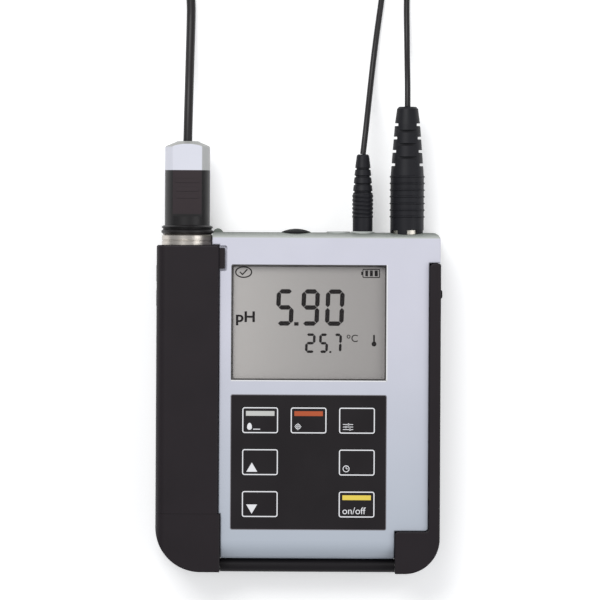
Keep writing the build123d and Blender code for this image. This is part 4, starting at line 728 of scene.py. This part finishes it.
# Painted light and shade: the glass is painted lighter at the left and darker at the right.
colour_over(lcd_grey, ramp(lcd_grey, "X", GLASS_RIGHT, GLASS_LEFT), srgb(196, 192, 188))
colour_over(lcd_grey, ramp(lcd_grey, "X", GLASS_LEFT, GLASS_RIGHT), srgb(168, 164, 161))
pane_clear = new_material("pane_clear")
pane_shader = shader_of(pane_clear)
pane_shader.inputs["Base Color"].default_value = srgb(60, 60, 60)
pane_shader.inputs["Roughness"].default_value = 0.08
pane_shader.inputs["Alpha"].default_value = 0.06
pane_shader.inputs["Specular IOR Level"].default_value = 0.5
dress(lcd_grey, "lcd_glass")
dress(pane_clear, "display_pane")
print("materials in the scene:", len(bpy.data.materials))

# %% [markdown]
# A digit is seven bars with pointed ends that leave thin light gaps where they meet. A font with such
# digits would have to be read from disk, so each bar is worked out instead: one six-cornered outline
# between two of the digit's six corners. The whole row leans slightly.

# %% The digits' segments
LEAN = 0.035
SEGMENTS = {
    "top": ((0, 2), (1, 2)), "middle": ((0, 1), (1, 1)), "bottom": ((0, 0), (1, 0)),
    "upper_left": ((0, 1), (0, 2)), "upper_right": ((1, 1), (1, 2)),
    "lower_left": ((0, 0), (0, 1)), "lower_right": ((1, 0), (1, 1)),
}
LIT = {
    "0": ("top", "bottom", "upper_left", "upper_right", "lower_left", "lower_right"),
    "2": ("top", "upper_right", "middle", "lower_left", "bottom"),
    "5": ("top", "upper_left", "middle", "lower_right", "bottom"),
    "7": ("top", "upper_right", "lower_right"),
    "9": ("top", "upper_left", "upper_right", "middle", "lower_right", "bottom"),
}


def segment(start, end, stroke, gap):
    """Six corners: the two ends pulled in by the gap, and four shoulders half a stroke away."""
    start, end = np.array(start, float), np.array(end, float)
    along = (end - start) / np.linalg.norm(end - start)
    side = np.array([-along[1], along[0]]) * stroke / 2
    first, last = start + along * gap, end - along * gap
    in_first, in_last = first + along * stroke / 2, last - along * stroke / 2
    return np.array([first, in_first - side, in_last - side, last, in_last + side, in_first + side])


def digit(sign, left, right, low, high, stroke, gap):
    """The lit segments of one digit. Corners are set in by half a stroke from its outer box."""
    xs = (left + stroke / 2, right - stroke / 2)
    ys = (low + stroke / 2, (low + high) / 2, high - stroke / 2)
    shapes = []
    for name in LIT[sign]:
        (ax, ay), (bx, by) = SEGMENTS[name]
        shapes.append(segment((xs[ax], ys[ay]), (xs[bx], ys[by]), stroke, gap))
    return shapes


def leaned(shapes, low):
    """Moves every point to the right in step with its height over the digit's foot."""
    return [np.stack([shape[:, 0] + LEAN * (shape[:, 1] - low), shape[:, 1]], axis=1) for shape in shapes]


def number(digits, low, high, stroke, gap):
    """The segments of a row of digits, each with its left and right end, leaned together."""
    shapes = []
    for sign, left, right in digits:
        shapes += digit(sign, left, right, low, high, stroke, gap)
    return leaned(shapes, low)


# %% [markdown]
# The upper row shows the pH value and the lower one the temperature. Their places are measured on the
# face in millimetres. The segments float a few hundredths above the glass, which is too little to see,
# but keeps the two surfaces apart.

# %% The reading
LCD_Z = corners_of("lcd_glass")[1][2]
SIGN_LOW = LCD_Z + 0.02
SIGN_HIGH = LCD_Z + 0.06
BIG_DIGITS = (("5", -10.6, -2.6), ("9", 0.9, 9.1), ("0", 11.9, 20.4))
BIG_LOW, BIG_HIGH, BIG_STROKE, BIG_GAP = 35.1, 51.7, 2.0, 0.14
SMALL_DIGITS = (("2", 2.9, 7.5), ("5", 9.2, 13.3), ("7", 15.7, 19.5))
SMALL_LOW, SMALL_HIGH, SMALL_STROKE, SMALL_GAP = 22.7, 31.6, 1.15, 0.1
ph_value = number(BIG_DIGITS, BIG_LOW, BIG_HIGH, BIG_STROKE, BIG_GAP)
temperature = number(SMALL_DIGITS, SMALL_LOW, SMALL_HIGH, SMALL_STROKE, SMALL_GAP)
decimal_points = [
    rounded_rectangle(-1.05, 35.9, 2.0, 1.6, 0.2),
    rounded_rectangle(14.5, 23.15, 0.9, 0.8, 0.1),
]
reading = prints("display_reading", ph_value + temperature + decimal_points, [], SIGN_LOW, SIGN_HIGH)
print("segments:", len(ph_value) + len(temperature))

# %% [markdown]
# Around the digits stand three small signs: a tick in an oval ring, a battery with three bars and a
# thermometer, and the ring of the degree sign. They are generic signs of their kinds, made of the
# same plates and bands as the rest.

# %% The display's signs
TICK_X, TICK_Y = -25.2, 59.4
TICK_STROKE = 0.55
BATTERY_X, BATTERY_Y = 33.0, 59.1
BATTERY_BARS = ((-2.1, 1.2), (0.05, 1.3), (2.25, 1.4))
BATTERY_BAR_HEIGHT = 2.6
THERMO_X, THERMO_Y = 34.4, 26.9
DEGREE_X, DEGREE_Y = 22.8, 30.2
tick = [
    bar((TICK_X - 1.7, TICK_Y + 0.1), (TICK_X - 0.5, TICK_Y - 1.2), TICK_STROKE),
    bar((TICK_X - 0.65, TICK_Y - 1.2), (TICK_X + 1.7, TICK_Y + 1.3), TICK_STROKE),
]
battery = [rounded_rectangle(BATTERY_X - 4.25, BATTERY_Y, 0.7, 1.5, 0.1)] + [
    rounded_rectangle(BATTERY_X + shift, BATTERY_Y, width, BATTERY_BAR_HEIGHT, 0.1)
    for shift, width in BATTERY_BARS
]
thermometer = [
    circle(THERMO_X, THERMO_Y, 1.1),
    rounded_rectangle(THERMO_X, THERMO_Y + 2.4, 0.8, 3.6, 0.35),
]
tick_ring = (oval(TICK_X, TICK_Y, 7.8, 5.3, steps=36), oval(TICK_X, TICK_Y, 6.7, 4.2, steps=36))
battery_case = (
    rounded_rectangle(BATTERY_X, BATTERY_Y, 8.0, 4.1, 0.6),
    rounded_rectangle(BATTERY_X, BATTERY_Y, 7.2, 3.3, 0.3),
)
degree_ring = (circle(DEGREE_X, DEGREE_Y, 0.85), circle(DEGREE_X, DEGREE_Y, 0.5))
signs = prints(
    "display_signs", tick + battery + thermometer, [tick_ring, battery_case, degree_ring],
    SIGN_LOW, SIGN_HIGH,
)
print("sign points:", len(signs.data.vertices))

# %% [markdown]
# The units are two short words of plain type. The pH is printed a little bolder and wider than the
# font has it. All signs of the display share one nearly black ink, and they ride on the housing.

# %% The display's units and ink
PH_UNIT_X, PH_UNIT_SIZE = -28.6, 6.4
DEGREE_UNIT_X, DEGREE_UNIT_Y, DEGREE_UNIT_SIZE = 24.1, 27.8, 3.3
lcd_ink = plastic("lcd_ink", srgb(36, 33, 33), roughness=0.6, specular=0.1, grain=0.02, cloud=0.03)
unit_ph = lettering(
    "display_unit", "pH", PH_UNIT_X, BIG_LOW, PH_UNIT_SIZE, SIGN_LOW, SIGN_HIGH, widen=1.13, bold=0.025,
)
unit_degree = lettering(
    "display_degree_unit", "C", DEGREE_UNIT_X, DEGREE_UNIT_Y, DEGREE_UNIT_SIZE, SIGN_LOW, SIGN_HIGH,
)
for piece in (reading, signs, unit_ph, unit_degree):
    piece.data.materials.append(lcd_ink)
    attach(piece, "housing")
    print("display piece:", piece.name)

# %% [markdown]
# The keypad is one dark printed film with seven keys under it. The film is satin, and its inks are a
# little flatter: white for the frames and signs, and three colours for the bars.

# %% The keypad's finishes
film_black = plastic("film_black", srgb(23, 18, 21), roughness=0.38, specular=0.28, grain=0.1, cloud=0.06)
# White for the key prints, which also paints the highlight along the display's edge.
print_and_highlight_white = plastic("print_and_highlight_white", srgb(226, 226, 228), roughness=0.5, specular=0.3, grain=0.05, cloud=0.02)
bar_silver = plastic("bar_silver", srgb(192, 192, 188), roughness=0.45, specular=0.35, grain=0.05, cloud=0.03)
bar_rust = plastic("bar_rust", srgb(176, 82, 46), roughness=0.5, specular=0.3, grain=0.05, cloud=0.05)
bar_yellow = plastic("bar_yellow", srgb(226, 202, 84), roughness=0.5, specular=0.3, grain=0.05, cloud=0.04)
KEYS = ("key_measure", "key_calibrate", "key_settings", "key_up", "key_time", "key_down", "key_power")
dress(film_black, "keypad_panel", *KEYS)
print("keys:", len(KEYS))

# %% [markdown]
# Words on the real keys are replaced by plain pictograms: a drop over a line, crosshairs, three
# sliders, a clock and two triangles. Each is drawn about its key's own middle, with its lower left in
# the same corner of the frame.

# %% The keys' signs
SIGN_LEFT, SIGN_FOOT, SIGN_SIZE = -6.4, -4.4, 3.1
SIGN_X, SIGN_Y = SIGN_LEFT + SIGN_SIZE / 2, SIGN_FOOT + SIGN_SIZE / 2
DROP_R = 1.1
CROSS_STROKE = 0.35
THIN_STROKE = 0.3
SLIDER_LENGTH = 1.5 * SIGN_SIZE
SLIDER_STEP = 1.15
ARROW_HEIGHT = 4.2


def drop_sign():
    """A circle whose upper half is drawn out upwards, and a level line beside it."""
    drop = circle(SIGN_X, SIGN_FOOT + DROP_R, DROP_R)
    drop[:, 1] += np.clip(drop[:, 1] - SIGN_FOOT - DROP_R, 0, None) * 0.9
    return [drop, bar((SIGN_LEFT + 3.2, SIGN_FOOT + 0.3), (SIGN_LEFT + 6.4, SIGN_FOOT + 0.3), 0.4)], []


def crosshair_sign():
    """Two crossed strokes, and a ring about their middle."""
    strokes = [
        bar((SIGN_LEFT, SIGN_Y), (SIGN_LEFT + SIGN_SIZE, SIGN_Y), CROSS_STROKE),
        bar((SIGN_X, SIGN_FOOT), (SIGN_X, SIGN_FOOT + SIGN_SIZE), CROSS_STROKE),
    ]
    return strokes, [(circle(SIGN_X, SIGN_Y, 1.25), circle(SIGN_X, SIGN_Y, 0.9))]


def slider_sign():
    """Three level lines, each with a knob at its own share of the length."""
    shapes = []
    for i, share in enumerate((0.7, 0.3, 0.55)):
        y = SIGN_FOOT + 0.35 + i * SLIDER_STEP
        shapes.append(bar((SIGN_LEFT, y), (SIGN_LEFT + SLIDER_LENGTH, y), THIN_STROKE))
        shapes.append(rounded_rectangle(SIGN_LEFT + SLIDER_LENGTH * share, y, 0.7, 0.9, 0.2))
    return shapes, []


def clock_sign():
    """Two hands from the middle of a ring, one up and one to the right."""
    hands = [
        bar((SIGN_X, SIGN_Y), (SIGN_X, SIGN_Y + 1.0), THIN_STROKE),
        bar((SIGN_X, SIGN_Y), (SIGN_X + 0.8, SIGN_Y), THIN_STROKE),
    ]
    return hands, [(circle(SIGN_X, SIGN_Y, 1.55), circle(SIGN_X, SIGN_Y, 1.2))]


def arrow_sign(upwards):
    """A triangle on its foot or on its point, with its corners in anticlockwise order."""
    base_y, point_y = SIGN_FOOT, SIGN_FOOT + ARROW_HEIGHT
    if not upwards:
        base_y, point_y = point_y, base_y
    triangle = np.array([(SIGN_LEFT + 0.2, base_y), (SIGN_LEFT + 5.2, base_y), (SIGN_LEFT + 2.7, point_y)])
    return [triangle if upwards else triangle[::-1]], []


key_signs = {
    "key_measure": drop_sign(), "key_calibrate": crosshair_sign(), "key_settings": slider_sign(),
    "key_up": arrow_sign(True), "key_time": clock_sign(), "key_down": arrow_sign(False),
    "key_power": ([], []),
}
print("key signs:", len(key_signs))

# %% [markdown]
# Each key moves by itself, so its white frame, its coloured bar and its sign are pieces of their own
# that ride on the key. One print over the whole keypad would stay behind when a key is pressed.

# %% The key prints
FILM_Z = corners_of("keypad_panel")[1][2]
INK_LOW = FILM_Z - 0.01
INK_HIGH = FILM_Z + 0.03
FRAME_LINE = 0.5
KEY_FRAME_WIDTH, KEY_FRAME_HEIGHT, KEY_CORNER_R = 16.3, 11.8, 1.1
BAR_WIDTH, BAR_HEIGHT, BAR_UP = 13.0, 2.2, 3.1
bar_finish = {"key_measure": bar_silver, "key_calibrate": bar_rust, "key_power": bar_yellow}


def finish_print(piece, material, body):
    """Gives a print its ink and the body that it rides on."""
    piece.data.materials.append(material)
    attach(piece, body)


def framed(x, y, width, height, line, outer_r, inner_r):
    """A band: a rounded rectangle, and a second one that is smaller by the line on every side."""
    return (
        rounded_rectangle(x, y, width, height, outer_r),
        rounded_rectangle(x, y, width - 2 * line, height - 2 * line, inner_r),
    )


for name in KEYS:
    key_x, key_y, _ = middle_of(name)
    plates, bands = key_signs[name]
    plates = [shape + [key_x, key_y] for shape in plates]
    bands = [(outer + [key_x, key_y], inner + [key_x, key_y]) for outer, inner in bands]
    frame_band = framed(
        key_x, key_y, KEY_FRAME_WIDTH, KEY_FRAME_HEIGHT, FRAME_LINE, KEY_CORNER_R, KEY_CORNER_R - FRAME_LINE,
    )
    frame_print = prints(name + "_print", plates, [frame_band] + bands, INK_LOW, INK_HIGH)
    finish_print(frame_print, print_and_highlight_white, name)
    if name in bar_finish:
        stripe = rounded_rectangle(key_x, key_y + BAR_UP, BAR_WIDTH, BAR_HEIGHT, 0.1)
        finish_print(prints(name + "_bar", [stripe], [], INK_LOW, INK_HIGH), bar_finish[name], name)
    if name == "key_power":
        words = lettering(
            name + "_words", "on/off", key_x + SIGN_LEFT, key_y + SIGN_FOOT, SIGN_SIZE, INK_LOW, INK_HIGH,
        )
        finish_print(words, print_and_highlight_white, name)
    print("print on:", name)

# %% [markdown]
# A thin grey line runs round the keypad, where the film's edge meets the shell: a painted highlight
# that stands for light caught on the film's bevel. A bevel on the film would change a CAD piece, so the
# line is one more printed band on its edge, painted lighter than the film.

# %% The keypad's rim
RIM_OUT, RIM_LINE = 0.1, 0.3
pad_low, pad_high = corners_of("keypad_panel")
pad_x, pad_y = (pad_low[:2] + pad_high[:2]) / 2
pad_width, pad_height = pad_high[:2] - pad_low[:2]
rim_band = framed(pad_x, pad_y, pad_width + RIM_OUT, pad_height + RIM_OUT, RIM_LINE, 0.95, 0.65)
rim = prints("keypad_rim_line", [], [rim_band], INK_LOW, INK_HIGH)
# Painted highlight: the grey band stands for light caught on the film's bevelled edge.
rim_highlight_grey = plastic("rim_highlight_grey", srgb(120, 116, 120), roughness=0.5, specular=0.3, cloud=0.03)
finish_print(rim, rim_highlight_grey, "housing")
print("keypad size in mm:", pad_width, pad_height)

# %% [markdown]
# The edge of the display's opening catches the light on its right side and along its foot. The real
# edge is a narrow bevel in the shell. That is a CAD piece, which this script leaves as it is, so two
# light strokes along the rim of the opening stand for the bevel.

# %% The display's lit edges
EDGE_OUT = 0.95
EDGE_TOP = 1.1
EDGE_LINE = 0.55
EDGE_RISE = 0.02
window_low, window_high = corners_of("lcd_glass")
left_x, right_x = window_low[0] - EDGE_OUT, window_high[0] + EDGE_OUT
foot_y, head_y = window_low[1] - EDGE_OUT, window_high[1] + EDGE_TOP
lit_edge = prints(
    "display_edge_light",
    [
        bar((right_x, foot_y), (right_x, head_y), EDGE_LINE),
        bar((left_x, foot_y), (right_x, foot_y), EDGE_LINE),
    ],
    [], INK_LOW, INK_HIGH + EDGE_RISE,
)
# Painted highlight: the lit bevel of the opening, in the white of the key prints.
finish_print(lit_edge, print_and_highlight_white, "housing")
print("display's edge in mm:", right_x - left_x, head_y - foot_y)

# %% [markdown]
# The bench is a plain white floor. Brighter lamps could make it white, but would wash out the meter,
# so rays that come straight from the camera, from a mirror or through glass see a little added white.
# The floor still takes the shadow.

# %% The floor
FLOOR_HALF = 3.0
FLOOR_DROP = 0.0002


def make_floor():
    """Four corners of a square, a little under the resting face."""
    material = new_material("floor_white")
    tree = material.node_tree
    shader = shader_of(material)
    shader.inputs["Base Color"].default_value = (0.85, 0.85, 0.85, 1.0)
    shader.inputs["Roughness"].default_value = 0.9
    shader.inputs["Specular IOR Level"].default_value = 0.0
    shader.inputs["Emission Color"].default_value = (0.35, 0.35, 0.35, 1.0)
    path = tree.nodes.new("ShaderNodeLightPath")
    seen = combined(material, "MAXIMUM", path.outputs["Is Camera Ray"], path.outputs["Is Glossy Ray"])
    seen = combined(material, "MAXIMUM", seen, path.outputs["Is Transmission Ray"])
    tree.links.new(seen, shader.inputs["Emission Strength"])
    square = np.array([(-1, -1, 0), (1, -1, 0), (1, 1, 0), (-1, 1, 0)]) * FLOOR_HALF
    floor = new_piece("floor", square - [0, 0, FLOOR_DROP], [[0, 1, 2, 3]])
    floor.data.materials.append(material)


make_floor()
print("floor half width in m:", FLOOR_HALF)

# %% [markdown]
# One large soft lamp hangs over the top end of the meter and a weaker one over its right side, and
# the world fills in the rest. One lamp alone would leave the guards' sides black. The level is plain,
# so a colour renders about as it is written.

# %% Light
AIM = (0, 0.03, 0)


def area_lamp(name, place, size, power):
    """A square lamp that looks along the line from its place to the aim."""
    light = bpy.data.lights.new(name, "AREA")
    light.size = size
    light.energy = power
    lamp = bpy.data.objects.new(name, light)
    lamp.location = place
    direction = np.array(AIM) - np.array(place)
    lamp.rotation_euler = Vector(direction).to_track_quat("-Z", "Y").to_euler()
    bpy.context.scene.collection.objects.link(lamp)


world = bpy.data.worlds.new("studio")
world.use_nodes = True
backdrop = world.node_tree.nodes["Background"]
backdrop.inputs["Color"].default_value = (0.94, 0.96, 1.0, 1.0)
backdrop.inputs["Strength"].default_value = 0.5
bpy.context.scene.world = world
area_lamp("top_lamp", (-0.35, 0.75, 1.1), 0.8, 11.0)
area_lamp("side_lamp", (0.9, -0.2, 0.9), 0.7, 4.0)
print("lamps:", len(bpy.data.lights))

# %% [markdown]
# The photograph is taken from straight above with a long lens: nothing in it converges. An
# orthographic camera would show the same, but a real lens keeps the other views natural. It stands
# three metres away, and its focal length is worked out from the width of the view on the face.

# %% Camera
VIEW_WIDTH = 273.3
VIEW_X, VIEW_Y, FACE_HEIGHT = 0.55, 46.8, 28.0
DISTANCE = 3000.0
ROLL_DEGREES = 0.3
camera_data = bpy.data.cameras.new("camera")
camera_data.sensor_width = 36.0
camera_data.lens = camera_data.sensor_width * DISTANCE / VIEW_WIDTH
camera_data.clip_end = 20.0
camera = bpy.data.objects.new("camera", camera_data)
camera.location = np.array([VIEW_X, VIEW_Y, FACE_HEIGHT + DISTANCE]) * MM
camera.rotation_euler = (0.0, 0.0, np.radians(ROLL_DEGREES))
bpy.context.scene.collection.objects.link(camera)
bpy.context.scene.camera = camera
bpy.context.scene.view_settings.view_transform = "Standard"
print("lens in mm:", camera_data.lens)
